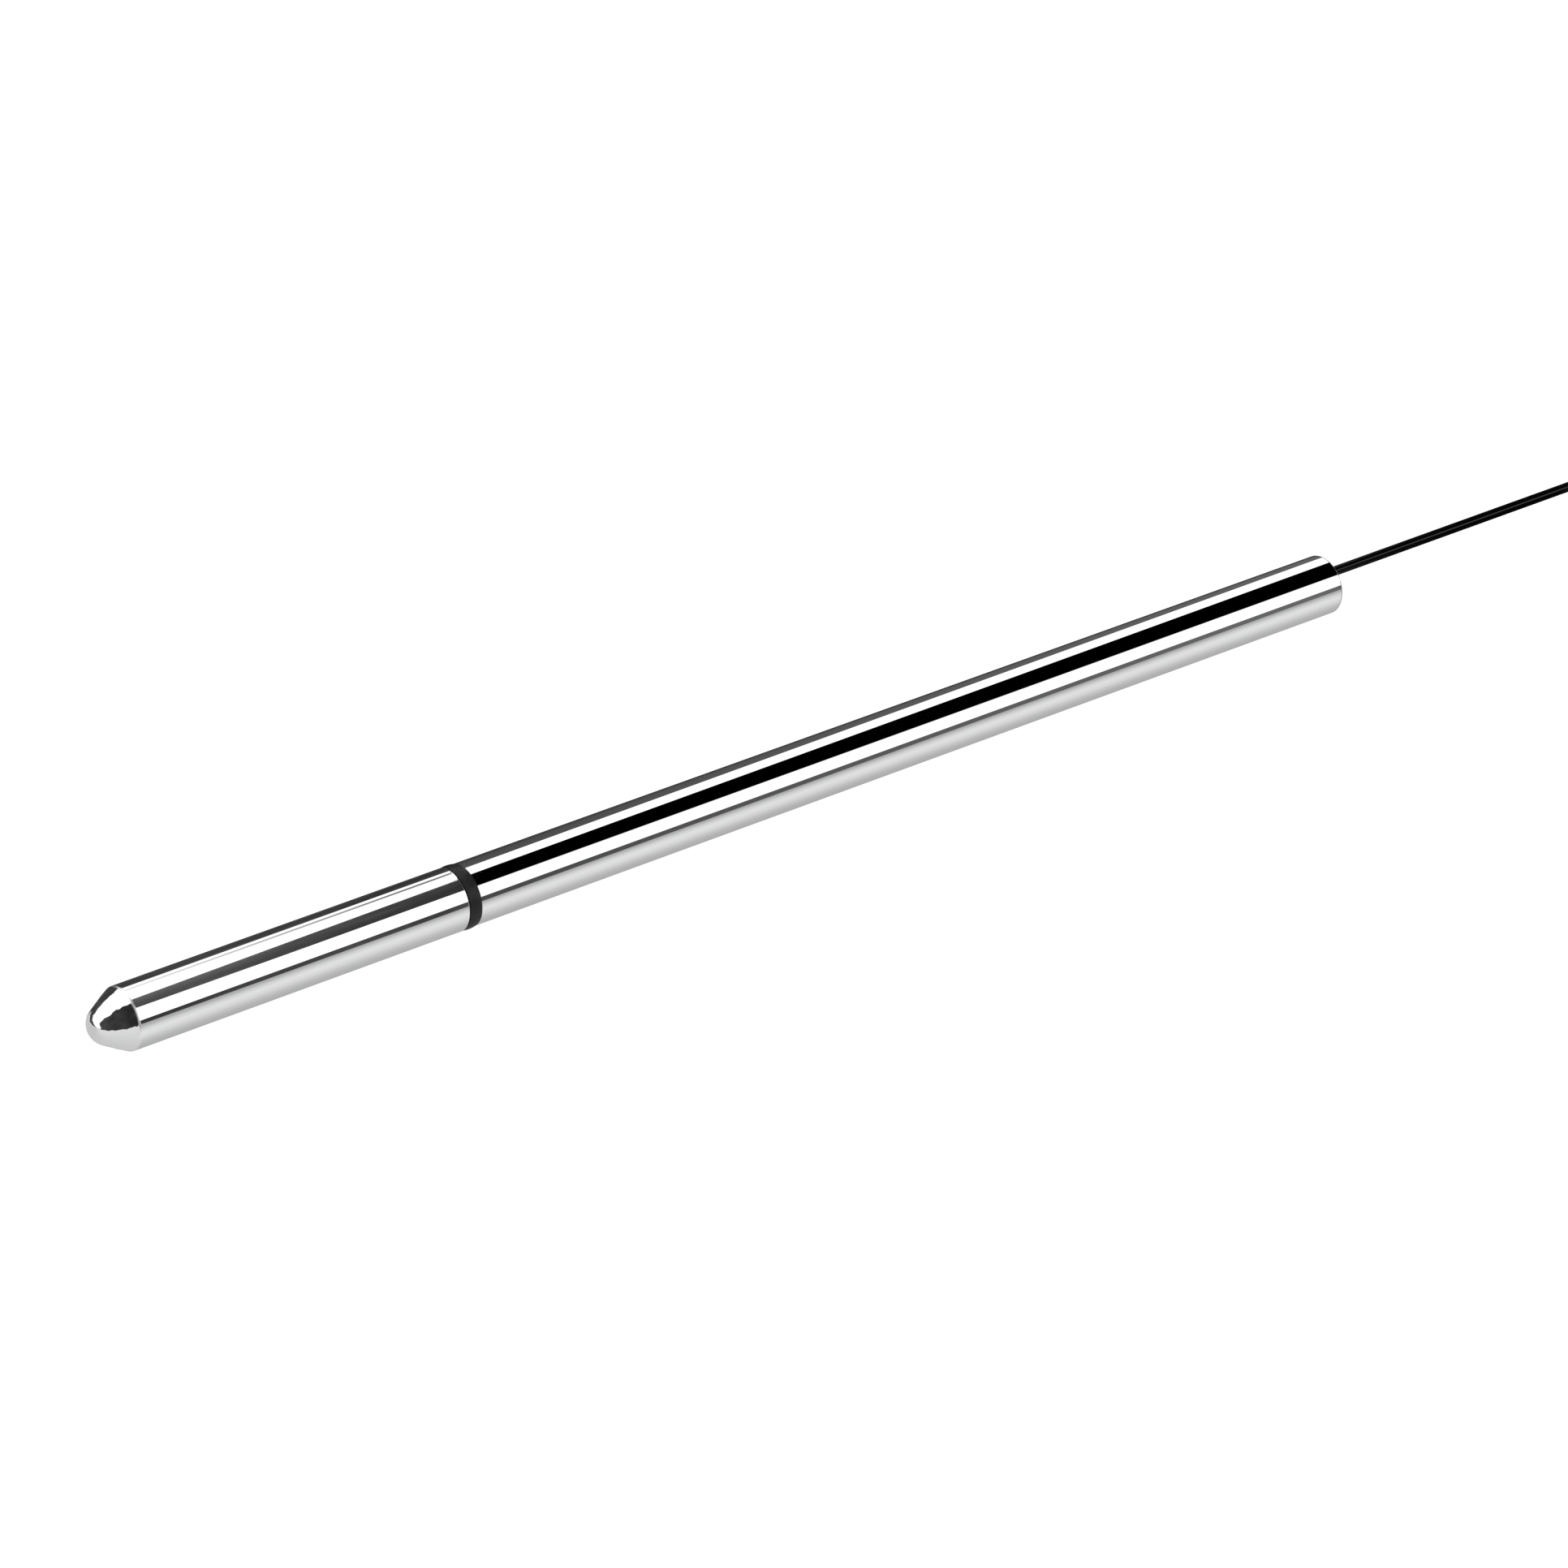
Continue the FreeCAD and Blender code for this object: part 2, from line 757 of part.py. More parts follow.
def make_hank():
    """The outer shape of the wound lead: a flat ring, open where the lead comes in on its top
    row and leaves from its bottom row, and notched below for the tie."""
    radius, x, run = size("cable_radius"), size("hank_start"), size("hank_run")
    diameter = radius * 2
    inner = size("fold_radius") - radius
    outer = inner + size("hank_columns") * diameter
    height = size("hank_rows") * diameter + size("tie_thickness")
    ring = less(
        "hank_ring", stadium("hank_outside", outer, height), stadium("hank_inside", inner, height)
    )
    lane = outer_turn_y() - radius
    way_in = primitive(
        "Box",
        "hank_way_in",
        (x - outer, lane, (size("hank_rows") - 1) * diameter),
        Length=outer,
        Width=outer,
        Height=height,
    )
    way_out = primitive(
        "Box", "hank_way_out", (x + run, lane, ZERO), Length=outer, Width=outer, Height=diameter
    )
    tie_bed = primitive(
        "Box",
        "hank_tie_bed",
        (x + run / 2 - size("tie_width") / 2, size("hank_centre_y") - outer, ZERO),
        Length=size("tie_width"),
        Width=outer * 2,
        Height=size("tie_thickness"),
    )
    openings = joined("hank_openings", [way_in, way_out, tie_bed])
    keep(less("lead_cable_hank", ring, openings), "lead_cable_hank")


def make_hank_tie():
    """Flat band once round both sides of the hank."""
    thick, wide = size("tie_thickness"), size("tie_width")
    half = size("fold_radius") - size("cable_radius") + size("hank_columns") * size("cable_radius") * 2
    height = size("hank_rows") * size("cable_radius") * 2
    x = size("hank_start") + size("hank_run") / 2 - wide / 2
    y = size("hank_centre_y")
    band = primitive(
        "Box",
        "tie_band",
        (x, y - half - thick, ZERO),
        Length=wide,
        Width=(half + thick) * 2,
        Height=height + thick * 2,
    )
    space = primitive(
        "Box", "tie_space", (x, y - half, thick), Length=wide, Width=half * 2, Height=height
    )
    keep(less("hank_tie", band, space), "hank_tie")


# ---- plug ---------------------------------------------------------------------------------------


def blades():
    """The two flat pins: name, place across the plug and width."""
    offset = size("blade_pitch") / 2
    return (
        ("positive", offset, size("positive_blade_width")),
        ("negative", -offset, size("negative_blade_width")),
    )


def shell_half(label, z, face, wiring_length, upward):
    """One half of the plug's body, hollowed from its parting face for wires and blades."""
    long, half_wide = size("plug_length"), size("plug_width") / 2
    start, half_room = size("wiring_start"), size("wiring_width") / 2
    body = new_body(label, size("plug_start"), size("hank_centre_y"), z)
    plan = rectangle(ZERO, long, -half_wide, half_wide)
    block = pad(body, outline(body, "XY_Plane", f"{label}_plan", plan), size("plug_height") / 2)
    doc.recompute()
    rounding = body.newObject("PartDesign::Fillet", f"{label}_corners")
    rounding.Base = (block, upright_edges(block.Shape))
    bind(rounding, "Radius", size("plug_corner"))
    room = rectangle(start, start + wiring_length, -half_room, half_room)
    room_plan = outline(body, "XY_Plane", f"{label}_room", room, lift=face)
    pocket(body, room_plan, size("wiring_depth"), upward)
    for name, across, width in blades():
        slot = rectangle(long - size("blade_root"), long, across - width / 2, across + width / 2)
        slot_plan = outline(body, "XY_Plane", f"{label}_{name}_slot", slot, lift=face)
        pocket(body, slot_plan, size("blade_thickness") / 2, upward)
    channel = circles(body, "YZ_Plane", f"{label}_channel", [(ZERO, face, size("boot_spigot"))])
    pocket(body, channel, start, True)
    return body


def upright_edges(shape):
    """The names of a shape's edges along Z."""
    names = []
    for number, edge in enumerate(shape.Edges, start=1):
        across = edge.Vertexes[1].Point - edge.Vertexes[0].Point
        if abs(across.x) + abs(across.y) < 1e-6:
            names.append(f"Edge{number}")
    return names


def make_plug_base():
    half = size("plug_height") / 2
    base = shell_half("plug_base", ZERO, half, size("wiring_length"), False)
    shank = size("terminal_shank")
    holes = [(size("terminal_place"), across, shank) for _, across, _ in blades()]
    under_blade = size("terminal_depth") - size("blade_thickness") / 2
    terminals = circles(base, "XY_Plane", "base_terminals", holes, half)
    pocket(base, terminals, under_blade + size("terminal_hole_spare"))
    thread = [(size("cover_screw_place"), ZERO, size("cover_screw_shank"))]
    below = size("cover_screw_length") - half
    threads = circles(base, "XY_Plane", "base_thread", thread, half)
    pocket(base, threads, below + size("cover_screw_hole_spare"))


def make_plug_cap():
    half = size("plug_height") / 2
    cap = shell_half("plug_cap", half, ZERO, size("cap_wiring_length"), True)
    place, play = size("cover_screw_place"), size("cover_screw_play")
    through = [(place, ZERO, size("cover_screw_shank") + play)]
    seat = [(place, ZERO, size("cover_screw_head") + play)]
    pocket(cap, circles(cap, "XY_Plane", "cap_screw_hole", through, half))
    pocket(
        cap, circles(cap, "XY_Plane", "cap_screw_seat", seat, half), size("cover_screw_head_height")
    )


def make_blades():
    """Flat pins with bevelled tips and a threaded hole for the terminal screw."""
    thick, tip = size("blade_thickness"), size("blade_tip")
    root = size("plug_length") - size("blade_root")
    end = size("plug_length") + size("blade_reach")
    for name, across, width in blades():
        half = width / 2
        z = size("plug_height") / 2 - thick / 2
        blade = new_body(f"{name}_blade", size("plug_start"), size("hank_centre_y") + across, z)
        plan = [
            (root, -half),
            (end - tip, -half),
            (end, -(half - tip)),
            (end, half - tip),
            (end - tip, half),
            (root, half),
        ]
        pad(blade, outline(blade, "XY_Plane", f"{name}_blade_plan", plan), thick)
        hole = [(size("terminal_place"), ZERO, size("terminal_shank"))]
        pocket(blade, circles(blade, "XY_Plane", f"{name}_blade_hole", hole), None, True)


def slotted_screw(name, x, y, top, head, head_height, shank, length):
    """A cheese-head screw, head up, with a driver slot. top is the top of its head."""
    head_piece = primitive(
        "Cylinder", f"{name}_head", (x, y, top - head_height), Radius=head, Height=head_height
    )
    shank_piece = primitive(
        "Cylinder", f"{name}_shank", (x, y, top - length), Radius=shank, Height=length
    )
    slot = primitive(
        "Box",
        f"{name}_slot",
        (x - head, y - size("driver_slot") / 2, top - size("driver_slot_depth")),
        Length=head * 2,
        Width=size("driver_slot"),
        Height=size("driver_slot_depth"),
    )
    return less(name, joined(f"{name}_blank", [head_piece, shank_piece]), slot)


def make_terminal_screws():
    on_blade = size("plug_height") / 2 + size("blade_thickness") / 2
    height = size("terminal_head_height")
    screws = [
        slotted_screw(
            f"{name}_terminal_screw",
            size("plug_start") + size("terminal_place"),
            size("hank_centre_y") + across,
            on_blade + height,
            size("terminal_head"),
            height,
            size("terminal_shank"),
            height + size("blade_thickness") / 2 + size("terminal_depth"),
        )
        for name, across, _ in blades()
    ]
    pair = doc.addObject("Part::Compound", "terminal_screws")
    pair.Links = screws
    keep(pair, "terminal_screws")


def make_cover_screw():
    screw = slotted_screw(
        "cover_screw",
        size("plug_start") + size("cover_screw_place"),
        size("hank_centre_y"),
        size("plug_height"),
        size("cover_screw_head"),
        size("cover_screw_head_height"),
        size("cover_screw_shank"),
        size("cover_screw_length"),
    )
    keep(screw, "cover_screw")


def make_plug_cores():
    """The lead's two cores from the end of its jacket to the terminal screws."""
    x, y = size("plug_start"), size("hank_centre_y")
    middle = size("plug_height") / 2
    radius = size("core_radius")
    on_blade = middle + size("blade_thickness") / 2 + radius
    for name, across, _ in blades():
        beside = y + size("core_spread") * math.copysign(1, across.number)
        start = x + size("wiring_start")
        points = [
            at(start, beside, middle),
            at(start + size("plug_core_fork"), beside, middle),
            at(start + size("plug_core_apart"), y + across, on_blade),
            at(x + size("terminal_place") - size("terminal_head"), y + across, on_blade),
        ]
        wire = rounded_wire(points, bend=size("plug_core_bend").number)[0]
        fixed_shape(f"plug_{name}_core", swept(wire, radius.number))


def make_cable_boot():
    """Tapered strain relief behind the plug, with a spigot clamped between its halves."""
    bore, spigot, long = size("cable_radius"), size("boot_spigot"), size("boot_length")
    corners = [
        (-long, bore),
        (-long, size("boot_tip")),
        (ZERO, size("boot_root")),
        (ZERO, spigot),
        (size("wiring_start"), spigot),
        (size("wiring_start"), bore),
    ]
    middle = size("plug_height") / 2
    turned("cable_boot", size("plug_start"), corners, y=size("hank_centre_y"), z=middle)


# ---- the whole assembly -------------------------------------------------------------------------

make_nose_shell()
make_tip_cement()
make_measuring_junction()
make_thermoelements()
make_insulators()
make_magnesia_fill()
make_collar()
make_o_rings()
make_barrel_tube()
make_centring_washer()
make_insulating_liner()
make_splices()
make_cores()
make_lead_jacket()
make_cable_clamp()
make_rear_potting()
make_rear_bush()
make_lead_cable()
make_hank()
make_hank_tie()
make_plug_base()
make_plug_cap()
make_blades()
make_terminal_screws()
make_cover_screw()
make_plug_cores()
make_cable_boot()
doc.recompute()

faults = [
    f"{thing.Label}: {list(thing.State)}"
    for thing in doc.Objects
    if "Invalid" in thing.State or "Error" in thing.State
]
for part in sub_parts:
    if part.Shape.isNull() or not part.Shape.isValid() or not part.Shape.Solids:
        faults.append(f"{part.Label}: no valid solid")
for cut in cuts:
    if not cut.Shape.Volume < cut.BaseFeature.Shape.Volume - 1e-6:
        faults.append(f"{cut.Label}: cuts nothing")
if faults:
    raise RuntimeError("; ".join(faults))

os.makedirs("parts", exist_ok=True)
for part in sub_parts:
    part.Shape.exportStep(f"parts/{part.Label}.step")
print(f"{len(sub_parts)} sub-parts written")
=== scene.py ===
import bpy
import bmesh
import json
import math
from mathutils import Matrix, Vector, noise


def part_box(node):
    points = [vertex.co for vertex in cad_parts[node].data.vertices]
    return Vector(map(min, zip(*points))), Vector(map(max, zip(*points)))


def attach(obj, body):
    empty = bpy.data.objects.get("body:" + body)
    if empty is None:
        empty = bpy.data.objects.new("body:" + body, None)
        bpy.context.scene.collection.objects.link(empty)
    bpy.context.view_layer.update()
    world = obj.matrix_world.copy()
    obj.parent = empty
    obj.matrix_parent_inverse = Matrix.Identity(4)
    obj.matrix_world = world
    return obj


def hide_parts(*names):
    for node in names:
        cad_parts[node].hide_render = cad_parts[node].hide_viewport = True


# A slim thermocouple probe on a pale studio floor: a mirror-polished nose and barrel, a satin
# black collar between them, and a thin black lead that is folded into a tied hank and ends in a
# miniature flat-pin plug. Lengths are in millimetres up to the meshes, which are in metres.
# +X runs from the nose tip to the lead, and +Z is up.

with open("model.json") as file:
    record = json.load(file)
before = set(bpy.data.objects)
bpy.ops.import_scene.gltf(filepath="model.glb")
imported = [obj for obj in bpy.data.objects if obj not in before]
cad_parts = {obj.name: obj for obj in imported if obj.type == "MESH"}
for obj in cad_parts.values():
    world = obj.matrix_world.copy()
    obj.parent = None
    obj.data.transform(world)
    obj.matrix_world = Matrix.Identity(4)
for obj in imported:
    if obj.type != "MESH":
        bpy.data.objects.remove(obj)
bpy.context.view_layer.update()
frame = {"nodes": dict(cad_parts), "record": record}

MM = 0.001
AXIS_HEIGHT = 4.124
NOSE_RADIUS = 4.06
NOSE_BORE = 3.0
BARREL_RADIUS = 4.0
BARREL_BORE = 3.3
LEAD_DIAMETER = 1.34
LEAD_RADIUS = LEAD_DIAMETER / 2.0
LEAD_RISE = 1.3
ROUND = 192
FINE_ROUND = 256

SLOTS = {part["node"]: part["material_slot"] for part in frame["record"]["subparts"]}


def low_of(node):
    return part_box(node)[0] / MM


def high_of(node):
    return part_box(node)[1] / MM


# ---- camera ----

HEADING = 0.672
TILT = 0.473
AIM = Vector((-24.455, -38.61, 28.68))
CAMERA_DISTANCE = 804.46
LENS = 157.18


def make_camera():
    """A long lens ahead of the nose and above it."""
    forward = Vector(
        (
            math.sin(HEADING) * math.cos(TILT),
            math.cos(HEADING) * math.cos(TILT),
            -math.sin(TILT),
        )
    )
    data = bpy.data.cameras.new("camera")
    data.lens = LENS
    data.sensor_width = 36.0
    data.clip_start = 0.01
    data.clip_end = 50.0
    camera = bpy.data.objects.new("camera", data)
    camera.location = (AIM - forward * CAMERA_DISTANCE) * MM
    camera.rotation_mode = "QUATERNION"
    camera.rotation_quaternion = forward.to_track_quat("-Z", "Y")
    bpy.context.scene.collection.objects.link(camera)
    bpy.context.scene.camera = camera


# ---- node graphs ----


class Graph:
    """A shader node tree that is written as nested calls."""

    def __init__(self, tree):
        self.tree = tree
        tree.nodes.clear()

    def add(self, kind, inputs=None, **settings):
        node = self.tree.nodes.new("ShaderNode" + kind)
        for key, value in settings.items():
            setattr(node, key, value)
        for key, value in (inputs or {}).items():
            if isinstance(value, bpy.types.NodeSocket):
                self.tree.links.new(value, node.inputs[key])
            else:
                node.inputs[key].default_value = value
        return node

    def math(self, operation, *values):
        return self.add("Math", dict(enumerate(values)), operation=operation).outputs[0]

    def span(self, value, low, high, to_low=0.0, to_high=1.0, smooth=False):
        """Maps low..high to to_low..to_high, held at both ends."""
        kind = "SMOOTHSTEP" if smooth else "LINEAR"
        inputs = {"Value": value, "From Min": low, "From Max": high}
        inputs.update({"To Min": to_low, "To Max": to_high})
        return self.add("MapRange", inputs, interpolation_type=kind, clamp=True).outputs[0]

    def inside(self, value, low, high, soft):
        """1 from low to high and 0 outside, with soft edges."""
        rise = self.span(value, low, low + soft)
        return self.math("MULTIPLY", rise, self.span(value, high - soft, high, 1.0, 0.0))

    def between(self, share, first, second):
        """A number or colour between two others."""
        return self.add("Mix", {0: share, 6: first, 7: second}, data_type="RGBA").outputs[2]

    def ramp(self, value, stops):
        """A piecewise linear grey scale. stops are (place from 0 to 1, brightness)."""
        node = self.add("ValToRGB", {"Fac": value})
        points = node.color_ramp.elements
        while len(points) < len(stops):
            points.new(1.0)
        for point, (place, level) in zip(points, stops):
            point.position = place
            point.color = (level, level, level, 1.0)
        return node.outputs["Color"]

    def speckle(self, where, scale, detail=4.0, roughness=0.55):
        inputs = {"Vector": where, "Scale": scale, "Detail": detail, "Roughness": roughness}
        return self.add("TexNoise", inputs).outputs["Fac"]

    def stretched(self, where, scale):
        return self.add("Mapping", {"Vector": where, "Scale": scale}).outputs["Vector"]


# ---- studio ----

WHITE = 1.25
# What polished metal sees in a strip studio, by angle over the horizon on the camera's side:
# (degrees, brightness). Below the horizon lies the pale table, above it two light strips with
# black cloth between them and grey cloth behind. The barrel and the nose each see a set of their
# own, and so does the cone, which looks ahead: one low dark cloth and one broad light.
TABLE = (
    (-180.0, 0.05),
    (-151.0, 0.05),
    (-147.0, 0.40),
    (-126.0, 0.42),
    (-90.0, 0.48),
    (-70.0, 0.59),
    (-55.0, 0.72),
    (-38.0, 0.80),
    (-25.0, 0.67),
    (-14.0, 0.44),
    (5.2, 0.40),
)
BARREL_STRIPS = (
    *TABLE,
    (6.6, WHITE),
    (46.0, WHITE),
    (47.0, 0.0),
    (96.0, 0.0),
    (97.0, WHITE),
    (130.6, WHITE),
    (131.6, 0.08),
    (160.0, 0.075),
    (180.0, 0.045),
)
NOSE_STRIPS = (
    *TABLE,
    (6.6, WHITE),
    (47.5, WHITE),
    (48.5, 0.0),
    (89.5, 0.0),
    (90.5, WHITE),
    (143.0, WHITE),
    (145.0, 0.04),
    (180.0, 0.025),
)
FRONT_STRIPS = (
    (-180.0, 0.60),
    (-126.0, 0.58),
    (-80.0, 0.62),
    (-40.0, 0.70),
    (-12.0, 0.74),
    (-10.0, 0.74),
    (-8.5, 0.021),
    (71.0, 0.021),
    (72.5, WHITE),
    (143.0, WHITE),
    (145.0, 0.03),
    (172.0, 0.03),
    (174.5, 0.85),
    (178.0, 0.85),
    (180.0, 0.60),
)
# How far ahead along the rod a mirrored direction points, by which the sets of strips are told
# apart: at the nose's tip, the collar, the barrel's two ends, and the two ends of the lead.
NOSE_START, COLLAR_PLACE = 0.462, 0.5128
BARREL_START, BARREL_END = 0.517, 0.62
LEAD_START, LEAD_END = 0.6244, 0.665
BLEND = 0.0004


def strip_stops(strips):
    return [((degrees + 180.0) / 360.0, level / WHITE) for degrees, level in strips]


def strips_seen(graph, degrees, strips):
    return graph.ramp(graph.span(degrees, -180.0, 180.0), strip_stops(strips))


def grey(level):
    return (level, level, level, 1.0)


def barrel_studio(graph, degrees, ahead):
    """The strips seen by the barrel. The cloths' upper edges rise towards its rear, the black
    cloth behind turns greyer, and a thin dark line lies on the horizon."""
    middle = graph.span(degrees, 50.0, 96.0, 0.0, 102.0)
    upper = graph.span(degrees, 100.0, 140.0, 0.0, 44.0)
    rise = graph.math(
        "MULTIPLY", graph.math("ADD", middle, upper), graph.math("SUBTRACT", ahead, BARREL_START)
    )
    strips = strips_seen(graph, graph.math("SUBTRACT", degrees, rise), BARREL_STRIPS)
    behind = graph.math("MULTIPLY", graph.span(degrees, 110.0, 130.0), 0.05 / WHITE)
    veil = graph.math("MULTIPLY", behind, graph.span(ahead, BARREL_START, BARREL_END))
    strips = graph.between(veil, strips, grey(1.0))
    line = graph.inside(degrees, -10.8, 6.6, 1.4)
    level = graph.span(ahead, BARREL_START, BARREL_END, 0.07 / WHITE, 0.14 / WHITE)
    return graph.between(line, strips, level)


def nose_studio(graph, degrees, ahead):
    """The strips seen by the nose: the same cloths, narrower and paler towards the tip, a thin
    seam in the upper light, and a dark line on the horizon."""
    upper = graph.math(
        "MULTIPLY",
        graph.inside(degrees, 66.0, 130.0, 14.0),
        graph.span(ahead, NOSE_START, 0.507, -8.1, 0.0),
    )
    lower = graph.math(
        "MULTIPLY",
        graph.inside(degrees, 22.0, 66.0, 8.0),
        graph.span(ahead, NOSE_START, 0.49, 3.4, 0.0),
    )
    moved = graph.math("SUBTRACT", degrees, graph.math("ADD", upper, lower))
    strips = strips_seen(graph, moved, NOSE_STRIPS)
    paler = graph.span(ahead, NOSE_START, 0.505, 0.095 / WHITE, 0.03 / WHITE)
    paler = graph.math("MULTIPLY", paler, graph.span(moved, 49.0, 89.0, 0.65, 1.3))
    strips = graph.between(graph.inside(moved, 47.5, 90.5, 1.0), strips, paler)
    seam = graph.math(
        "MULTIPLY",
        graph.inside(degrees, 122.0, 133.5, 2.5),
        graph.span(ahead, NOSE_START, COLLAR_PLACE, 0.25, 1.0),
    )
    strips = graph.between(seam, strips, grey(0.06))
    low_edge = graph.span(ahead, NOSE_START, 0.50, -7.5, -10.8)
    above = graph.span(graph.math("SUBTRACT", degrees, low_edge), 0.0, 1.4)
    line = graph.math("MULTIPLY", above, graph.span(degrees, 5.2, 6.6, 1.0, 0.0))
    return graph.between(line, strips, grey(0.03))


def front_studio(graph, degrees, ahead, direction):
    """What the cone and the ball point see. The low cloth hangs unevenly and ends well before
    straight ahead."""
    waves = graph.speckle(direction, 9.0, 2.0, 0.5)
    swing = graph.span(waves, 0.3, 0.7, -5.0, 5.0)
    rise = graph.span(ahead, -0.8, -0.3, 15.0, 0.0)
    rise = graph.math("MULTIPLY", rise, graph.span(degrees, 100.0, 130.0))
    wavy = graph.math("SUBTRACT", graph.math("ADD", degrees, swing), rise)
    strips = strips_seen(graph, wavy, FRONT_STRIPS)
    end = graph.math("ADD", ahead, graph.span(waves, 0.3, 0.7, -0.03, 0.03))
    beyond_end = graph.math(
        "MULTIPLY",
        graph.span(end, -0.95, -0.93, 1.0, 0.0),
        graph.inside(degrees, -4.0, 90.0, 4.0),
    )
    return graph.between(beyond_end, strips, grey(1.0))


def make_world():
    world = bpy.data.worlds.new("strip_studio")
    world.use_nodes = True
    bpy.context.scene.world = world
    graph = Graph(world.node_tree)
    direction = graph.add("TexCoord").outputs["Generated"]
    parts = graph.add("SeparateXYZ", {0: direction}).outputs
    ahead = parts["X"]
    toward = graph.math("MULTIPLY", parts["Y"], -1.0)
    angle = graph.math("ARCTAN2", parts["Z"], toward)
    degrees = graph.math("MULTIPLY", angle, 180.0 / math.pi)

    barrel = barrel_studio(graph, degrees, ahead)
    nose = nose_studio(graph, degrees, ahead)
    front = front_studio(graph, degrees, ahead, direction)
    past_collar = graph.span(ahead, COLLAR_PLACE - 0.75 * BLEND, COLLAR_PLACE + 0.75 * BLEND)
    side = graph.between(past_collar, nose, barrel)
    # the lead shows one soft bright line, of the lower strip alone
    lead_line = graph.math("MULTIPLY", graph.inside(degrees, 20.0, 46.0, 6.0), 2.4)
    on_lead = graph.inside(ahead, LEAD_START - BLEND, LEAD_END, 2.0 * BLEND)
    side = graph.between(on_lead, side, lead_line)
    off_front = graph.span(ahead, -0.28, 0.0)
    # the ball's lower outline mirrors the table ahead, which reaches further round under the rod
    slanted = graph.math("SUBTRACT", degrees, graph.math("MULTIPLY", ahead, 107.0))
    below = graph.math(
        "MULTIPLY",
        graph.span(slanted, -186.0, -182.0),
        graph.span(degrees, -70.0, -50.0, 1.0, 0.0),
    )
    table_ahead = graph.math("MULTIPLY", below, graph.span(ahead, 0.25, 0.42, 1.0, 0.0))
    to_side = graph.math("MULTIPLY", off_front, graph.math("SUBTRACT", 1.0, table_ahead))
    studio = graph.between(to_side, front, side)

    rays = graph.add("LightPath").outputs
    glossy = graph.add("Background", {"Color": studio, "Strength": WHITE})
    even = graph.add("Background", {"Color": grey(1.0), "Strength": 1.0})
    mixed = graph.add(
        "MixShader", {0: rays["Is Glossy Ray"], 1: even.outputs[0], 2: glossy.outputs[0]}
    )
    graph.add("OutputWorld", {"Surface": mixed.outputs[0]})


def make_floor():
    """Pale paper that mostly glows, so that it stays even and takes only faint shadows."""
    half = 4.0
    mesh = bpy.data.meshes.new("floor")
    corners = [(-half, -half, 0.0), (half, -half, 0.0), (half, half, 0.0), (-half, half, 0.0)]
    mesh.from_pydata(corners, [], [(0, 1, 2, 3)])
    floor = bpy.data.objects.new("floor", mesh)
    bpy.context.scene.collection.objects.link(floor)
    floor.visible_glossy = False
    material = bpy.data.materials.new("pale_floor")
    material.use_nodes = True
    graph = Graph(material.node_tree)
    paper = graph.add("BsdfDiffuse", {"Color": grey(0.08)})
    glow = graph.add("Emission", {"Color": grey(1.0), "Strength": 0.98})
    total = graph.add("AddShader", {0: paper.outputs[0], 1: glow.outputs[0]})
    graph.add("OutputMaterial", {"Surface": total.outputs[0]})
    mesh.materials.append(material)


def make_soft_lights():
    """Large lamps that only matt surfaces answer to; the polished steel mirrors the strips."""
    lamps = (
        ("key_light", (-0.35, -0.45, 0.75), 0.6, 3.2),
        ("fill_light", (0.75, -0.25, 0.6), 0.7, 1.6),
    )
    for name, place, width, power in lamps:
        data = bpy.data.lights.new(name, "AREA")
        data.shape = "DISK"
        data.size = width
        data.energy = power
        lamp = bpy.data.objects.new(name, data)
        lamp.location = place
        lamp.rotation_mode = "QUATERNION"
        lamp.rotation_quaternion = (-Vector(place)).to_track_quat("-Z", "Y")
        lamp.visible_glossy = False
        bpy.context.scene.collection.objects.link(lamp)


# ---- finishes ----


def new_surface(name):
    material = bpy.data.materials.new(name)
    material.use_nodes = True
    graph = Graph(material.node_tree)
    where = graph.add("TexCoord").outputs["Object"]
    return material, graph, where


def tone(red, green, blue):
    return (red, green, blue, 1.0)


def polished_steel(name, rough, haze):
    """Mirror-polished stainless steel: fine turning marks, polishing streaks and a thin haze.
    rough is the roughness, and haze the share of haze, where the streaks are weak and strong."""
    material, graph, where = new_surface(name)
    streaks = graph.speckle(graph.stretched(where, (45.0, 700.0, 700.0)), 1.0, 3.0)
    turning = graph.speckle(graph.stretched(where, (8000.0, 260.0, 260.0)), 1.0, 2.0)
    clouds = graph.speckle(where, 60.0, 2.0)
    colour = graph.between(clouds, tone(0.945, 0.95, 0.955), tone(0.925, 0.925, 0.93))
    bump = graph.add("Bump", {"Height": turning, "Strength": 0.2, "Distance": 1e-7})
    metal = graph.add(
        "BsdfPrincipled",
        {
            "Base Color": colour,
            "Metallic": 1.0,
            "Roughness": graph.span(streaks, 0.35, 0.7, *rough),
            "Normal": bump.outputs[0],
        },
    )
    film = graph.add("BsdfDiffuse", {"Color": tone(0.86, 0.87, 0.89)})
    share = graph.span(streaks, 0.36, 0.7, *haze)
    mixed = graph.add("MixShader", {0: share, 1: metal.outputs[0], 2: film.outputs[0]})
    graph.add("OutputMaterial", {"Surface": mixed.outputs[0]})
    return material


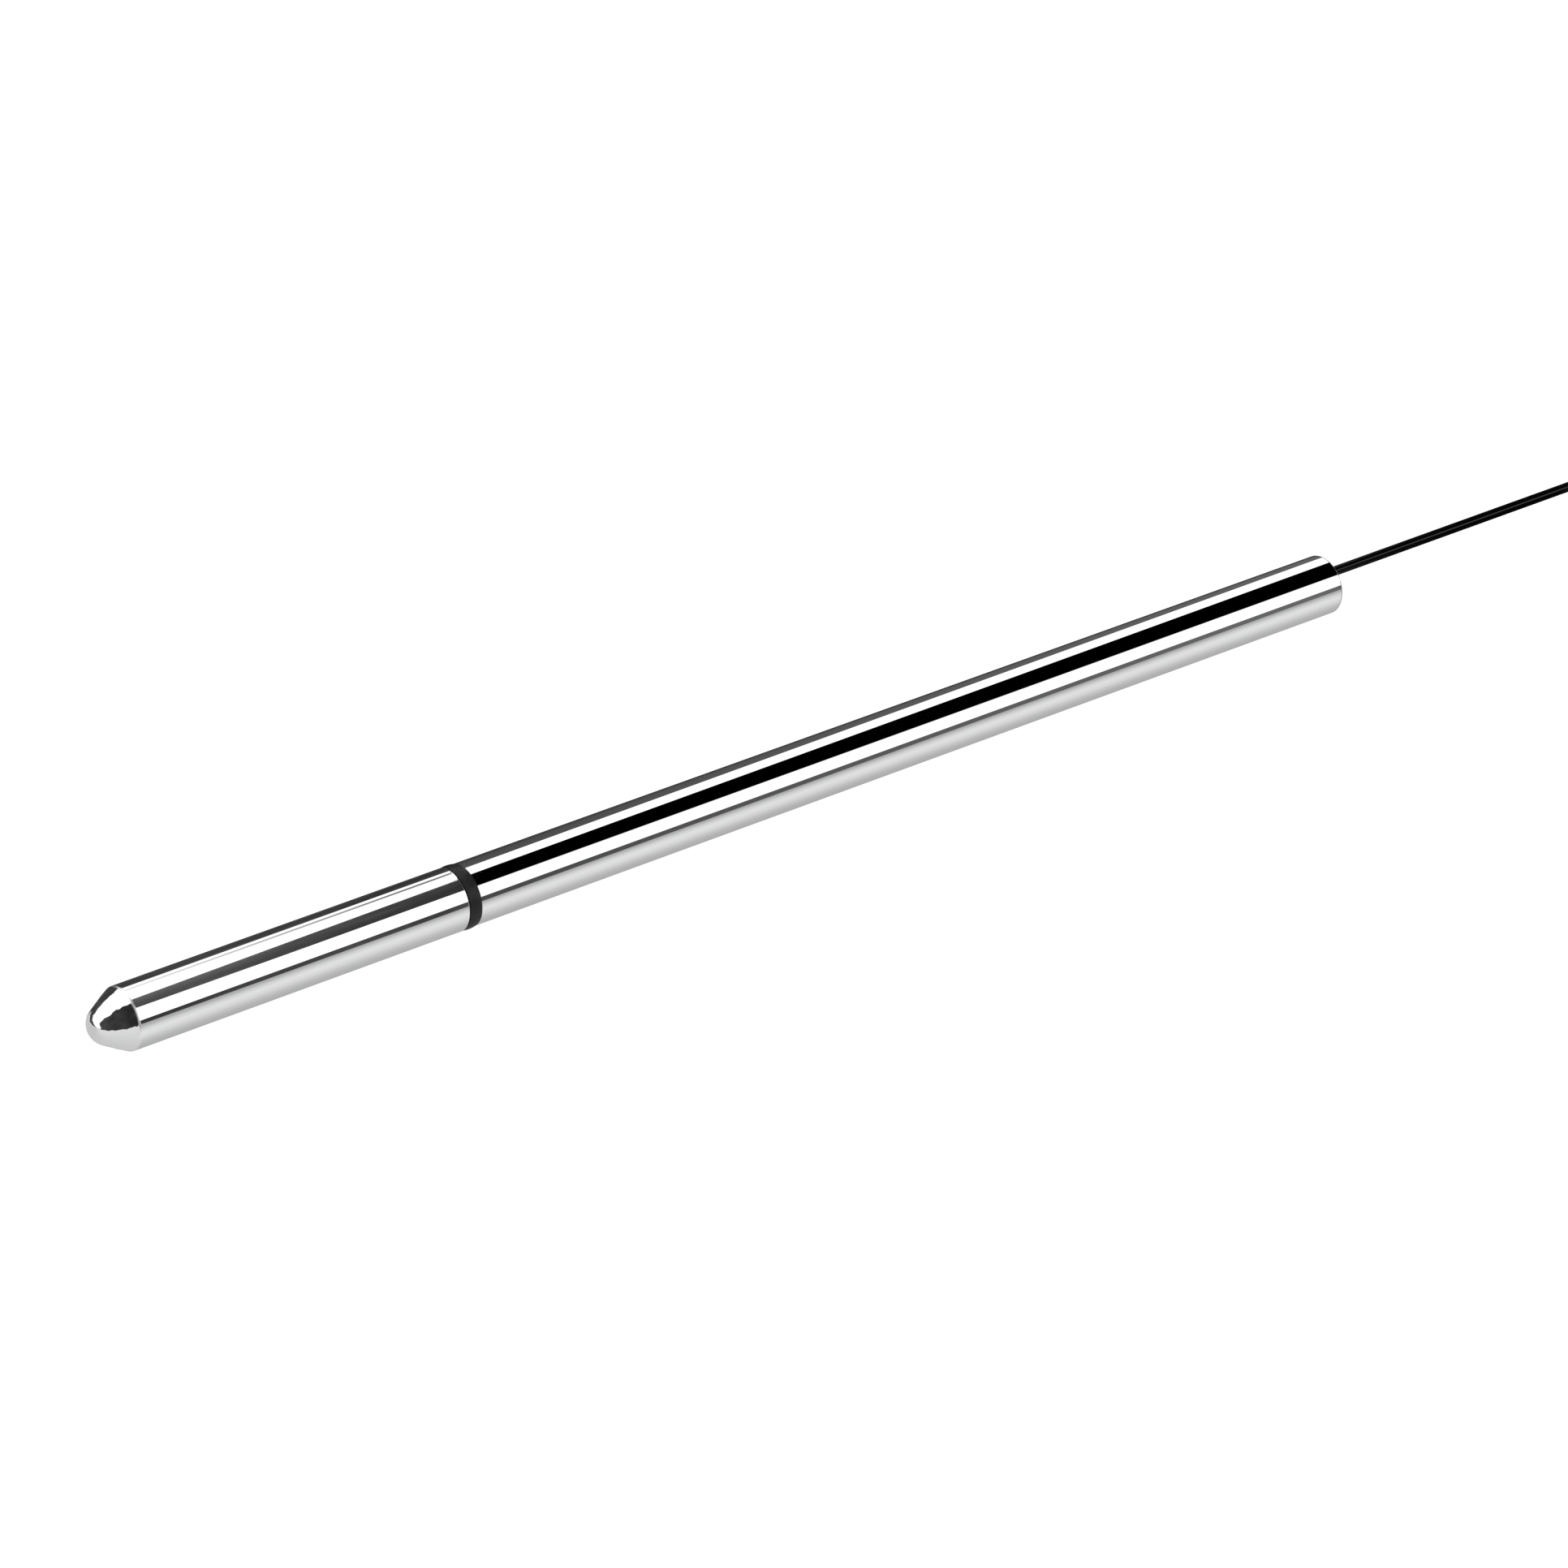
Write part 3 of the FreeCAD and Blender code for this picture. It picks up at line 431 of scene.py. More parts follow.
def finish(name, colour, other, grain, rough, bump, stretch=(1.0, 1.0, 1.0), **settings):
    """A plastic, ceramic or metal with grain: colour mottling, uneven gloss and relief.
    grain is the size of the texture in millimetres, bump its relief in micrometres, and stretch
    draws it out along an axis. settings are metallic, specular, clear, coat and sheen."""
    material, graph, where = new_surface(name)
    scale = 1.0 / (grain * MM)
    fine = graph.speckle(graph.stretched(where, [axis * scale for axis in stretch]), 1.0, 5.0)
    broad = graph.speckle(where, scale / 9.0, 2.0)
    base = graph.between(graph.span(broad, 0.3, 0.7), colour, other)
    inputs = {
        "Base Color": base,
        "Roughness": graph.span(fine, 0.25, 0.75, rough * 0.82, rough * 1.2),
        "Metallic": settings.get("metallic", 0.0),
        "Specular IOR Level": settings.get("specular", 0.5),
        "Transmission Weight": settings.get("clear", 0.0),
        "Coat Weight": settings.get("coat", 0.0),
        "Coat Roughness": 0.2,
        "Sheen Weight": settings.get("sheen", 0.0),
    }
    relief = graph.add("Bump", {"Height": fine, "Strength": 0.6, "Distance": bump * 1e-6})
    inputs["Normal"] = relief.outputs[0]
    surface = graph.add("BsdfPrincipled", inputs)
    graph.add("OutputMaterial", {"Surface": surface.outputs[0]})
    return material


def edge_steel_painted_line(name, levels, fade_start):
    """The broken edge of a polished part: matt and darker above, a painted line on its upper side
    where the light draws one, and from fade_start over the axis down it turns as bright as the
    part itself."""
    material, graph, where = new_surface(name)
    height = graph.add("SeparateXYZ", {0: where}).outputs["Z"]
    start = (AXIS_HEIGHT + fade_start) * MM
    # only the upper side turns matt and darker: a painted line where the light draws one
    matt_and_painted_above = graph.span(height, start, start + 1.2 * MM, smooth=True)
    marks = graph.speckle(graph.stretched(where, (17000.0, 1700.0, 1700.0)), 1.0, 3.0)
    matt_and_painted_level = graph.span(marks, 0.3, 0.7, *levels)
    metal = graph.add(
        "BsdfPrincipled",
        {
            "Base Color": graph.between(matt_and_painted_above, grey(0.94), matt_and_painted_level),
            "Metallic": 1.0,
            "Roughness": graph.span(matt_and_painted_above, 0.0, 1.0, 0.04, 0.36),
        },
    )
    graph.add("OutputMaterial", {"Surface": metal.outputs[0]})
    return material


DRAWN = (0.05, 1.0, 1.0)
TURNED = (1.0, 0.06, 0.06)
FINISHES = {
    "black_collar": finish(
        "satin_black_collar", grey(0.005), grey(0.009), 0.09, 0.42, 3.0, TURNED, specular=0.26
    ),
    "seal_rubber": finish("nitrile", grey(0.018), grey(0.028), 0.12, 0.55, 4.0),
    "ceramic_cement": finish(
        "cast_cement", tone(0.80, 0.77, 0.70), tone(0.88, 0.86, 0.80), 0.25, 0.85, 30.0
    ),
    "junction_weld": finish(
        "weld_bead", tone(0.30, 0.27, 0.26), tone(0.46, 0.42, 0.36), 0.2, 0.38, 14.0, metallic=1.0
    ),
    "iron_wire": finish(
        "iron_wire", tone(0.36, 0.35, 0.34), tone(0.46, 0.44, 0.42), 0.04, 0.34, 2.0, DRAWN,
        metallic=1.0,
    ),
    "constantan_wire": finish(
        "constantan_wire", tone(0.56, 0.48, 0.38), tone(0.66, 0.58, 0.47), 0.04, 0.3, 2.0, DRAWN,
        metallic=1.0,
    ),
    "alumina": finish(
        "fired_alumina", tone(0.86, 0.82, 0.72), tone(0.91, 0.88, 0.80), 0.08, 0.55, 4.0
    ),
    "magnesia": finish("magnesia_powder", grey(0.84), tone(0.92, 0.91, 0.88), 0.1, 0.92, 18.0),
    "white_ptfe": finish("turned_ptfe", grey(0.84), tone(0.9, 0.9, 0.88), 0.1, 0.42, 3.0, TURNED),
    "amber_film": finish(
        "polyimide_film", tone(0.62, 0.30, 0.05), tone(0.74, 0.42, 0.10), 0.4, 0.22, 2.0, clear=0.5
    ),
    "tinned_ferrule": finish(
        "tinned_ferrule", tone(0.66, 0.66, 0.64), tone(0.76, 0.76, 0.73), 0.12, 0.3, 5.0,
        metallic=1.0,
    ),
    "clear_sleeve": finish(
        "shrunk_sleeve", grey(0.7), tone(0.82, 0.81, 0.76), 0.3, 0.22, 4.0, clear=0.7
    ),
    "black_core": finish("black_core", grey(0.02), grey(0.03), 0.1, 0.36, 2.0, DRAWN),
    "white_core": finish("white_core", grey(0.78), tone(0.86, 0.86, 0.82), 0.1, 0.36, 2.0, DRAWN),
    "black_jacket": finish(
        "black_jacket", grey(0.0006), grey(0.0014), 0.07, 0.07, 0.12, DRAWN, specular=0.18
    ),
    "clamp_metal": finish(
        "crimped_aluminium", tone(0.7, 0.71, 0.72), tone(0.8, 0.81, 0.82), 0.15, 0.36, 5.0,
        metallic=1.0,
    ),
    "potting_resin": finish("potting_resin", grey(0.05), tone(0.08, 0.08, 0.09), 0.5, 0.24, 5.0),
    "black_bush": finish("moulded_bush", grey(0.018), grey(0.026), 0.07, 0.48, 5.0),
    "tie_strip": finish("tie_nylon", grey(0.02), grey(0.032), 0.09, 0.44, 4.0, coat=0.08),
    "boot_rubber": finish("boot_rubber", grey(0.016), grey(0.026), 0.08, 0.56, 6.0, sheen=0.05),
    "plug_body": finish("plug_plastic", grey(0.02), tone(0.03, 0.03, 0.032), 0.13, 0.5, 14.0),
    "iron_blade": finish(
        "iron_blade", tone(0.50, 0.49, 0.47), tone(0.60, 0.58, 0.55), 0.03, 0.3, 2.0,
        (0.04, 1.0, 1.0), metallic=1.0,
    ),
    "constantan_blade": finish(
        "constantan_blade", tone(0.66, 0.58, 0.47), tone(0.75, 0.67, 0.55), 0.03, 0.28, 2.0,
        (0.04, 1.0, 1.0), metallic=1.0,
    ),
    "terminal_brass": finish(
        "turned_brass", tone(0.68, 0.48, 0.20), tone(0.78, 0.58, 0.28), 0.05, 0.26, 2.0,
        metallic=1.0,
    ),
    "screw_steel": finish(
        "zinc_plate", tone(0.58, 0.59, 0.60), tone(0.68, 0.68, 0.66), 0.1, 0.3, 3.0, metallic=1.0
    ),
}
NOSE_STEEL = polished_steel("nose_steel", (0.03, 0.05), (0.0, 0.035))
BARREL_STEEL = polished_steel("barrel_steel", (0.012, 0.022), (0.0, 0.0))
# edges matt and darker on top only: painted line on the cone's edge, painted shade on the rim
EDGE_STEEL_PAINTED_LINE = edge_steel_painted_line("broken_edge_painted_line", (0.86, 0.95), -0.3)
RIM_STEEL_PAINTED_SHADE = edge_steel_painted_line("turned_rim_painted_shade", (0.42, 0.55), -1.4)
FINISHES["mirror_steel"] = BARREL_STEEL


# ---- mesh helpers ----


def piece_from(bm, name, materials, replaced, sharp=32.0):
    """Makes a piece of a mesh in millimetres, and has it stand for a CAD node."""
    bmesh.ops.recalc_face_normals(bm, faces=bm.faces)
    bmesh.ops.scale(bm, vec=(MM, MM, MM), verts=bm.verts)
    mesh = bpy.data.meshes.new(name)
    bm.to_mesh(mesh)
    bm.free()
    for polygon in mesh.polygons:
        polygon.use_smooth = True
    mesh.set_sharp_from_angle(angle=math.radians(sharp))
    for material in materials:
        mesh.materials.append(material)
    piece = bpy.data.objects.new(name, mesh)
    bpy.context.scene.collection.objects.link(piece)
    settle(piece, replaced)
    return piece


def settle(piece, replaced):
    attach(piece, "root")
    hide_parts(*replaced)


def rounded(corners, hold=0.06):
    """A section with its corners rounded: corners are (along, out, rounding). One more point
    beside each arc holds the straight stretch next to it flat."""
    points = []
    count = len(corners)
    for place, (along, out, rounding) in enumerate(corners):
        here = Vector((along, out))
        if rounding <= 0.0:
            points.append(here)
            continue
        before = Vector(corners[place - 1][:2]) - here
        after = Vector(corners[(place + 1) % count][:2]) - here
        opening = before.angle(after)
        reach = rounding / math.tan(opening / 2.0)
        middle = (before.normalized() + after.normalized()).normalized()
        centre = here + middle * (rounding / math.sin(opening / 2.0))
        start = here + before.normalized() * reach
        end = here + after.normalized() * reach
        if before.length > reach + 2.0 * hold:
            points.append(start + before.normalized() * hold)
        steps = max(2, math.ceil(math.degrees(math.pi - opening) / 12.0))
        first = start - centre
        sweep = first.angle_signed(end - centre)
        for step in range(steps + 1):
            spoke = first.copy()
            spoke.rotate(Matrix.Rotation(-sweep * step / steps, 2))
            points.append(centre + spoke)
        if after.length > reach + 2.0 * hold:
            points.append(end + after.normalized() * hold)
    return [(point.x, point.y) for point in points]


def divided(section, longest=6.0):
    """The same section with its long stretches divided."""
    points = []
    for (x, r), (next_x, next_r) in zip(section, section[1:] + section[:1]):
        steps = max(1, math.ceil(math.hypot(next_x - x, next_r - r) / longest))
        for step in range(steps):
            share = step / steps
            points.append((x + (next_x - x) * share, r + (next_r - r) * share))
    return points


def lathe(bm, section, y=0.0, z=AXIS_HEIGHT, closed=True, segments=ROUND):
    """Turns a section of (x, radius) about a line along X. A radius of 0 gives a pole."""
    rings = []
    for x, radius in section:
        if radius < 1e-6:
            rings.append([bm.verts.new((x, y, z))])
            continue
        angles = [math.tau * step / segments for step in range(segments)]
        rings.append(
            [bm.verts.new((x, y + radius * math.sin(a), z + radius * math.cos(a))) for a in angles]
        )
    skin(bm, rings, closed)
    return rings


def skin(bm, rings, closed):
    """Faces between neighbouring rings of points; a ring of one point is a pole."""
    following = rings[1:] + rings[:1] if closed else rings[1:]
    for ring, after in zip(rings, following):
        count = max(len(ring), len(after))
        if count == 1:
            continue
        for step in range(count):
            ahead = (step + 1) % count
            corners = [
                ring[step % len(ring)],
                ring[ahead % len(ring)],
                after[ahead % len(after)],
                after[step % len(after)],
            ]
            bm.faces.new(list(dict.fromkeys(corners)))


# ---- probe ----

BALL_RADIUS = 2.6
CONE_ANGLE = math.radians(29.0)
CONE_CROWN = 0.03
CONE_WAVES = 0.026


def make_nose():
    """Ball point, slightly crowned and wavy hand-polished cone, cylinder and drilled bore."""
    tip, rear = low_of("nose_shell").x, high_of("nose_shell").x
    floor, drill_half_angle = 9.0, math.radians(59.0)
    edge_round, edge_mark, rim = 0.5, 0.14, 0.1
    ball_x = tip + BALL_RADIUS
    section = []
    ball_steps, cone_steps, waves_start = 40, 36, 28
    ball_end = math.pi / 2.0 - CONE_ANGLE
    for step in range(ball_steps):
        angle = ball_end * step / ball_steps
        section.append((ball_x - BALL_RADIUS * math.cos(angle), BALL_RADIUS * math.sin(angle)))
    cone_x = ball_x - BALL_RADIUS * math.sin(CONE_ANGLE)
    cone_r = BALL_RADIUS * math.cos(CONE_ANGLE)
    edge_x = cone_x + (NOSE_RADIUS - cone_r) / math.tan(CONE_ANGLE)
    body = rounded(
        [
            (cone_x, cone_r, 0.0),
            (edge_x, NOSE_RADIUS, edge_round),
            (rear, NOSE_RADIUS, rim),
            (rear, NOSE_BORE, rim),
            (tip + floor, NOSE_BORE, 0.3),
            (tip + floor - NOSE_BORE / math.tan(drill_half_angle), 0.0, 0.0),
        ]
    )
    edge_start = body[1]
    for step in range(cone_steps):
        share = step / cone_steps
        section.append(
            (cone_x + (edge_start[0] - cone_x) * share, cone_r + (edge_start[1] - cone_r) * share)
        )
    section += divided(body[1:-1]) + [body[-1]]
    bm = bmesh.new()
    rings = lathe(bm, section, closed=False, segments=FINE_ROUND)
    bm.normal_update()
    cone_length = edge_start[0] - cone_x
    for ring in rings[waves_start : ball_steps + cone_steps]:
        for point in ring:
            share = (point.co.x - cone_x) / cone_length
            crown = CONE_CROWN * max(0.0, 4.0 * share * (1.0 - share))
            calm = min(1.0, 4.0 * (1.0 - share)) * min(1.0, max(0.0, share + 0.3) * 2.0)
            ripple = noise.noise(point.co * 0.85) + 0.5 * noise.noise(point.co * 1.9)
            out = Vector((0.0, point.co.y, point.co.z - AXIS_HEIGHT)).normalized()
            normal = out * math.cos(CONE_ANGLE) - Vector((math.sin(CONE_ANGLE), 0.0, 0.0))
            point.co += normal * (crown + CONE_WAVES * calm * ripple)
    # the edge finish darkens only the upper side: a painted line on the cone's edge and rear rim
    mark_edge(bm, edge_x - edge_mark, edge_x + edge_mark, NOSE_RADIUS - 0.25)
    mark_edge(bm, rear - rim, rear, NOSE_RADIUS - 0.2)
    piece_from(
        bm, "nose_shell_polished", [NOSE_STEEL, EDGE_STEEL_PAINTED_LINE], ["nose_shell"], sharp=24.0
    )


def mark_edge(bm, start, end, inner):
    """Gives the outer faces of a turned piece between two places the edge's finish, with its
    painted line on the upper side.
    """
    for face in bm.faces:
        centre = face.calc_center_median()
        if start < centre.x < end and math.hypot(centre.y, centre.z - AXIS_HEIGHT) > inner:
            face.material_index = 1


def make_barrel():
    """Plain tube with its ends broken; the rear rim is left as it was turned, with painted shade
    on its upper side.
    """
    front, rear = low_of("barrel_tube").x, high_of("barrel_tube").x
    section = rounded(
        [
            (front, BARREL_BORE, 0.05),
            (front, BARREL_RADIUS, 0.07),
            (rear, BARREL_RADIUS, 0.18),
            (rear, BARREL_BORE, 0.1),
        ]
    )
    bm = bmesh.new()
    lathe(bm, divided(section), segments=FINE_ROUND)
    # the rim's finish is darker on the upper side only: painted shade
    mark_edge(bm, rear - 0.2, rear, BARREL_RADIUS - 0.25)
    piece_from(
        bm, "barrel_tube_polished", [BARREL_STEEL, RIM_STEEL_PAINTED_SHADE], ["barrel_tube"], sharp=24.0
    )


def make_collar():
    """Black ring with a crowned rim that laps thinly over the barrel, and a grooved spigot on
    each side."""
    low, high = low_of("thermal_break_collar").x, high_of("thermal_break_collar").x
    spigot, width, lap = 6.0, 1.75, 0.12
    ring = low + spigot
    front, rear, bore = NOSE_BORE, BARREL_BORE, 1.55
    groove, wide, deep = 2.6, 0.7, 0.6
    lead_in, edge = 0.4, 0.05
    relief, relief_width = 3.84, 0.14
    rim = BARREL_RADIUS + 0.015
    crown_start = ring + relief_width
    crown = [(ring, relief, 0.0), (crown_start, relief, 0.0)]
    crown_steps = 8
    for step in range(crown_steps + 1):
        share = step / crown_steps
        lift = (AXIS_HEIGHT - rim) * 4.0 * share * (1.0 - share)
        x = crown_start + (width + lap - relief_width) * share
        crown.append((x, rim + lift, edge if step == 0 else 0.0))
    crown.append((ring + width + lap, BARREL_RADIUS + 0.003, 0.0))
    section = rounded(
        [
            (low, bore, edge),
            (low, front - lead_in, edge),
            (low + lead_in, front, edge),
            (ring - groove - wide, front, edge),
            (ring - groove - wide, front - deep, edge),
            (ring - groove, front - deep, edge),
            (ring - groove, front, edge),
            (ring, front, 0.0),
            *crown,
            (ring + width, BARREL_RADIUS, 0.0),
            (ring + width, rear, 0.0),
            (ring + width + groove, rear, edge),
            (ring + width + groove, rear - deep, edge),
            (ring + width + groove + wide, rear - deep, edge),
            (ring + width + groove + wide, rear, edge),
            (high - lead_in, rear, edge),
            (high, rear - lead_in, edge),
            (high, bore, edge),
        ],
        hold=0.03,
    )
    bm = bmesh.new()
    lathe(bm, section)
    piece_from(
        bm, "collar_turned", [FINISHES["black_collar"]], ["thermal_break_collar"], sharp=40.0
    )


def make_bush():
    """Bush with a raised lip round the lead, which leaves above its middle."""
    start, end = low_of("rear_bush").x, high_of("rear_bush").x
    radius, offset, hole = BARREL_BORE, LEAD_RISE, LEAD_RADIUS
    rings = [
        (start, hole, offset),
        (start, radius, 0.0),
        (end - 0.4, radius, 0.0),
        (end - 0.3, radius - 0.03, 0.0),
        (end - 0.12, radius - 0.14, 0.0),
        (end - 0.02, radius - 0.33, 0.0),
        (end, radius - 0.45, 0.0),
        (end, 1.5, offset),
        (end + 0.02, 1.36, offset),
        (end + 0.12, 1.24, offset),
        (end + 0.24, 1.14, offset),
        (end + 0.3, 1.02, offset),
        (end + 0.3, 0.84, offset),
        (end + 0.24, hole + 0.06, offset),
        (end + 0.1, hole + 0.01, offset),
    ]
    bm = bmesh.new()
    loops = []
    for x, size, lift in rings:
        loops += lathe(bm, [(x, size)], z=AXIS_HEIGHT + lift, closed=False, segments=96)
    skin(bm, loops, True)
    piece_from(bm, "rear_bush_moulded", [FINISHES["black_bush"]], ["rear_bush"], sharp=50.0)


# ---- lead ----

EXIT = (high_of("rear_bush").x, 0.0, AXIS_HEIGHT + LEAD_RISE)
HANK_START = 164.4
HANK_RUN = 23.0
HANK_Y = -3.0
INNER_FOLD = 4.02
ROWS = 4
COLUMNS = 3
OUTER_TURN_Y = HANK_Y + INNER_FOLD + (COLUMNS - 1) * LEAD_DIAMETER
TOP_ROW = (ROWS - 0.5) * LEAD_DIAMETER
TIE_X = HANK_START + HANK_RUN / 2.0
TIE_REACH = 3.5
TIE_LIFT = 0.4
FOLD_STEP = 30.0
# How far a turn has moved on to its next place, in seven moves, one row after another from the
# bottom: at each point of the far fold, along the near side, as (x, moves, lift over the tie),
# and at each point of the near fold.
FAR_FOLD_MOVES = (0.0, 0.0, 0.33, 0.67, 1.0, 1.5, 2.0, 2.0)
LEG_MOVES = (
    (TIE_X + 7.0, 2.0, 0.0),
    (TIE_X + TIE_REACH, 3.0, TIE_LIFT),
    (TIE_X - TIE_REACH, 4.0, TIE_LIFT),
    (TIE_X - 7.0, 5.0, 0.0),
)
NEAR_FOLD_MOVES = (6.0, 6.0, 6.25, 6.5, 6.75, 7.0, 7.0, 7.0)


def hank_places():
    """The places in the hank's section in the order that the lead fills them: (row, column)."""
    places = []
    for row in range(ROWS, 0, -1):
        columns = range(COLUMNS)
        inward = (ROWS - row) % 2 == 0
        places += [(row, column) for column in (reversed(columns) if inward else columns)]
    return places


def place_at(here, after, moves):
    """Radius from the hank's middle line and height of a strand on its way between places."""
    row, column = here
    next_row, next_column = after
    move = 2 * row - 1 if row == next_row else 2 * row - 2
    share = min(1.0, max(0.0, moves - (move - 1)))
    column += (next_column - column) * share
    row += (next_row - row) * share
    return INNER_FOLD + column * LEAD_DIAMETER, (row - 0.5) * LEAD_DIAMETER


def fold_points(here, after, middle_x, side, fold_moves):
    """A fold half round from one leg to the other. side is 1 at the far end and -1 at the near
    end. The points stand off, so that the line that they guide touches the fold's radius."""
    points = []
    for step, moves in enumerate(fold_moves):
        radius, z = place_at(here, after, moves)
        out = side * radius / math.cos(math.radians(FOLD_STEP / 2.0))
        turned = math.radians(FOLD_STEP * ((len(fold_moves) - 1) / 2.0 - step))
        points.append((middle_x + out * math.cos(turned), HANK_Y + out * math.sin(turned), z))
    return points


def hank_points():
    """The hank's turns, each with a leg and a fold on either side."""
    points = []
    places = hank_places()
    for turn, here in enumerate(places):
        radius, z = place_at(here, here, 0.0)
        for x in (TIE_X - TIE_REACH, TIE_X + TIE_REACH):
            points.append((x, HANK_Y + radius, z + TIE_LIFT))
        if turn == len(places) - 1:
            break
        after = places[turn + 1]
        points += fold_points(here, after, HANK_START + HANK_RUN, 1.0, FAR_FOLD_MOVES)
        for x, moves, lift in LEG_MOVES:
            radius, z = place_at(here, after, moves)
            points.append((x, HANK_Y - radius, z + lift))
        points += fold_points(here, after, HANK_START, -1.0, NEAR_FOLD_MOVES)
    return points


def make_lead():
    """One lead on one smooth line: straight out of the bush, down to the hank, through its
    turns, and up to the plug's boot."""
    points = [
        EXIT,
        (137.7, 0.0, EXIT[2]),
        (147.5, 0.0, EXIT[2]),
        (156.5, OUTER_TURN_Y, TOP_ROW),
        (HANK_START, OUTER_TURN_Y, TOP_ROW),
        *hank_points(),
        (HANK_START + HANK_RUN, OUTER_TURN_Y, LEAD_RADIUS),
        (196.5, OUTER_TURN_Y, LEAD_RADIUS),
        (209.0, HANK_Y, PARTING),
        (PLUG_X + WIRING_START, HANK_Y, PARTING),
    ]
    curve = bpy.data.curves.new("lead_cable", "CURVE")
    curve.dimensions = "3D"
    curve.bevel_depth = LEAD_RADIUS * MM
    curve.bevel_resolution = 6
    curve.resolution_u = 8
    curve.use_fill_caps = True
    spline = curve.splines.new("NURBS")
    spline.points.add(len(points) - 1)
    for control, point in zip(spline.points, points):
        control.co = (*(Vector(point) * MM), 1.0)
    spline.order_u = 3
    spline.use_endpoint_u = True
    curve.materials.append(FINISHES["black_jacket"])
    lead = bpy.data.objects.new("lead_cable", curve)
    bpy.context.scene.collection.objects.link(lead)
    settle(lead, ["lead_cable_run", "lead_cable_hank", "lead_cable_tail"])


# ---- tie ----

TIE_WIDTH = 2.5
TIE_THICK = 0.4
HANK_HALF_WIDTH = INNER_FOLD + (COLUMNS - 0.5) * LEAD_DIAMETER
HANK_TOP = ROWS * LEAD_DIAMETER + TIE_LIFT


def strap_ring(bm, x, inner, outward, thick=TIE_THICK, half=TIE_WIDTH / 2.0):
    """The strap's section at a point of its inner face, as a ring of points."""
    soft = 0.09
    section = (
        (-half, soft),
        (-half + soft, 0.0),
        (half - soft, 0.0),
        (half, soft),
        (half, thick - soft),
        (half - soft, thick),
        (-half + soft, thick),
        (-half, thick - soft),
    )
    return [
        bm.verts.new((x + u, inner[0] + outward[0] * v, inner[1] + outward[1] * v))
        for u, v in section
    ]


def make_tie():
    """Nylon strap round both sides of the hank, with its lock on top and a trimmed tail."""
    bm = bmesh.new()
    bend = LEAD_RADIUS
    corner_steps = 8
    corners = (
        (HANK_HALF_WIDTH - bend, HANK_TOP - bend, 0.0),
        (-HANK_HALF_WIDTH + bend, HANK_TOP - bend, 90.0),
        (-HANK_HALF_WIDTH + bend, TIE_LIFT + bend, 180.0),
        (HANK_HALF_WIDTH - bend, TIE_LIFT + bend, 270.0),
    )
    rings = []
    for across, z, start in corners:
        for step in range(corner_steps + 1):
            angle = math.radians(start + 90.0 * step / corner_steps)
            outward = (math.cos(angle), math.sin(angle))
            inner = (HANK_Y + across + bend * outward[0], z + bend * outward[1])
            rings.append(strap_ring(bm, TIE_X, inner, outward))
    skin(bm, rings, True)

    # lock: a tapered frame round the tail's slot, its last two rings being the slot's own
    slot_z = HANK_TOP + 1.3
    lock_start, lock_end = -2.05, 1.95
    slot_half_wide, slot_half_high = 1.35, 0.3
    bevel = ((0.0, 1.0), (0.6, 0.6), (1.0, 0.0))
    frame_rings = []
    for y, half_wide, half_high, soft in (
        (lock_start, 1.55, 0.75, 0.16),
        (lock_start + 0.2, 1.8, 0.95, 0.16),
        (lock_end - 0.2, 1.9, 1.0, 0.16),
        (lock_end, 1.75, 0.85, 0.16),
        (lock_end, slot_half_wide, slot_half_high, 0.05),
        (lock_start, slot_half_wide, slot_half_high, 0.05),
    ):
        ring = []
        for cx, cz in ((1, 1), (-1, 1), (-1, -1), (1, -1)):
            for along, up in bevel if cx * cz < 0 else reversed(bevel):
                ring.append(
                    bm.verts.new(
                        (
                            TIE_X + cx * (half_wide - soft * (1.0 - along)),
                            HANK_Y + y,
                            slot_z + cz * (half_high - soft * (1.0 - up)),
                        )
                    )
                )
        frame_rings.append(ring)
    skin(bm, frame_rings, True)

    # tail: the strap's other end, toothed, through the lock and cut off short
    tail_start, tail_end, pitch, tooth = -1.6, 3.1, 0.18, 0.13
    teeth = []
    for step in range(round((tail_end - tail_start) / pitch) + 1):
        thick = TIE_THICK if step % 2 else TIE_THICK - tooth
        inner = (HANK_Y + tail_start + pitch * step, slot_z - 0.2)
        teeth.append(strap_ring(bm, TIE_X, inner, (0.0, 1.0), thick, TIE_WIDTH / 2.0 - 0.05))
    skin(bm, teeth, False)
    bm.faces.new(teeth[0])
    bm.faces.new(teeth[-1])
    return piece_from(bm, "hank_tie_strap", [FINISHES["tie_strip"]], ["hank_tie"], sharp=38.0)


# ---- plug ----

PLUG_X = 222.0
PLUG_LENGTH = 19.0
PLUG_HALF_WIDTH = 8.15
PLUG_HEIGHT = 8.0
PARTING = PLUG_HEIGHT / 2.0
WIRING_START = 4.0
WIRING_HALF_WIDTH = 6.6
WIRING_DEPTH = 2.6
BLADE_THICK = 0.8
BLADE_ROOT = PLUG_LENGTH - 10.5
BLADE_END = PLUG_LENGTH + 12.5
BLADES = (("positive", 3.95, 2.3), ("negative", -3.95, 3.2))
TERMINAL_PLACE = 10.5
TERMINAL_SHANK = 0.7
TERMINAL_HOLE_DEPTH = 2.5
COVER_SCREW_PLACE = 15.6
COVER_SCREW_SHANK = 0.8
COVER_SCREW_HEAD = 1.5
COVER_SCREW_SEAT = PLUG_HEIGHT - 1.1
SCREW_PLAY = 0.1
BOOT_SPIGOT = 1.2
CUT_PAST = 1.0


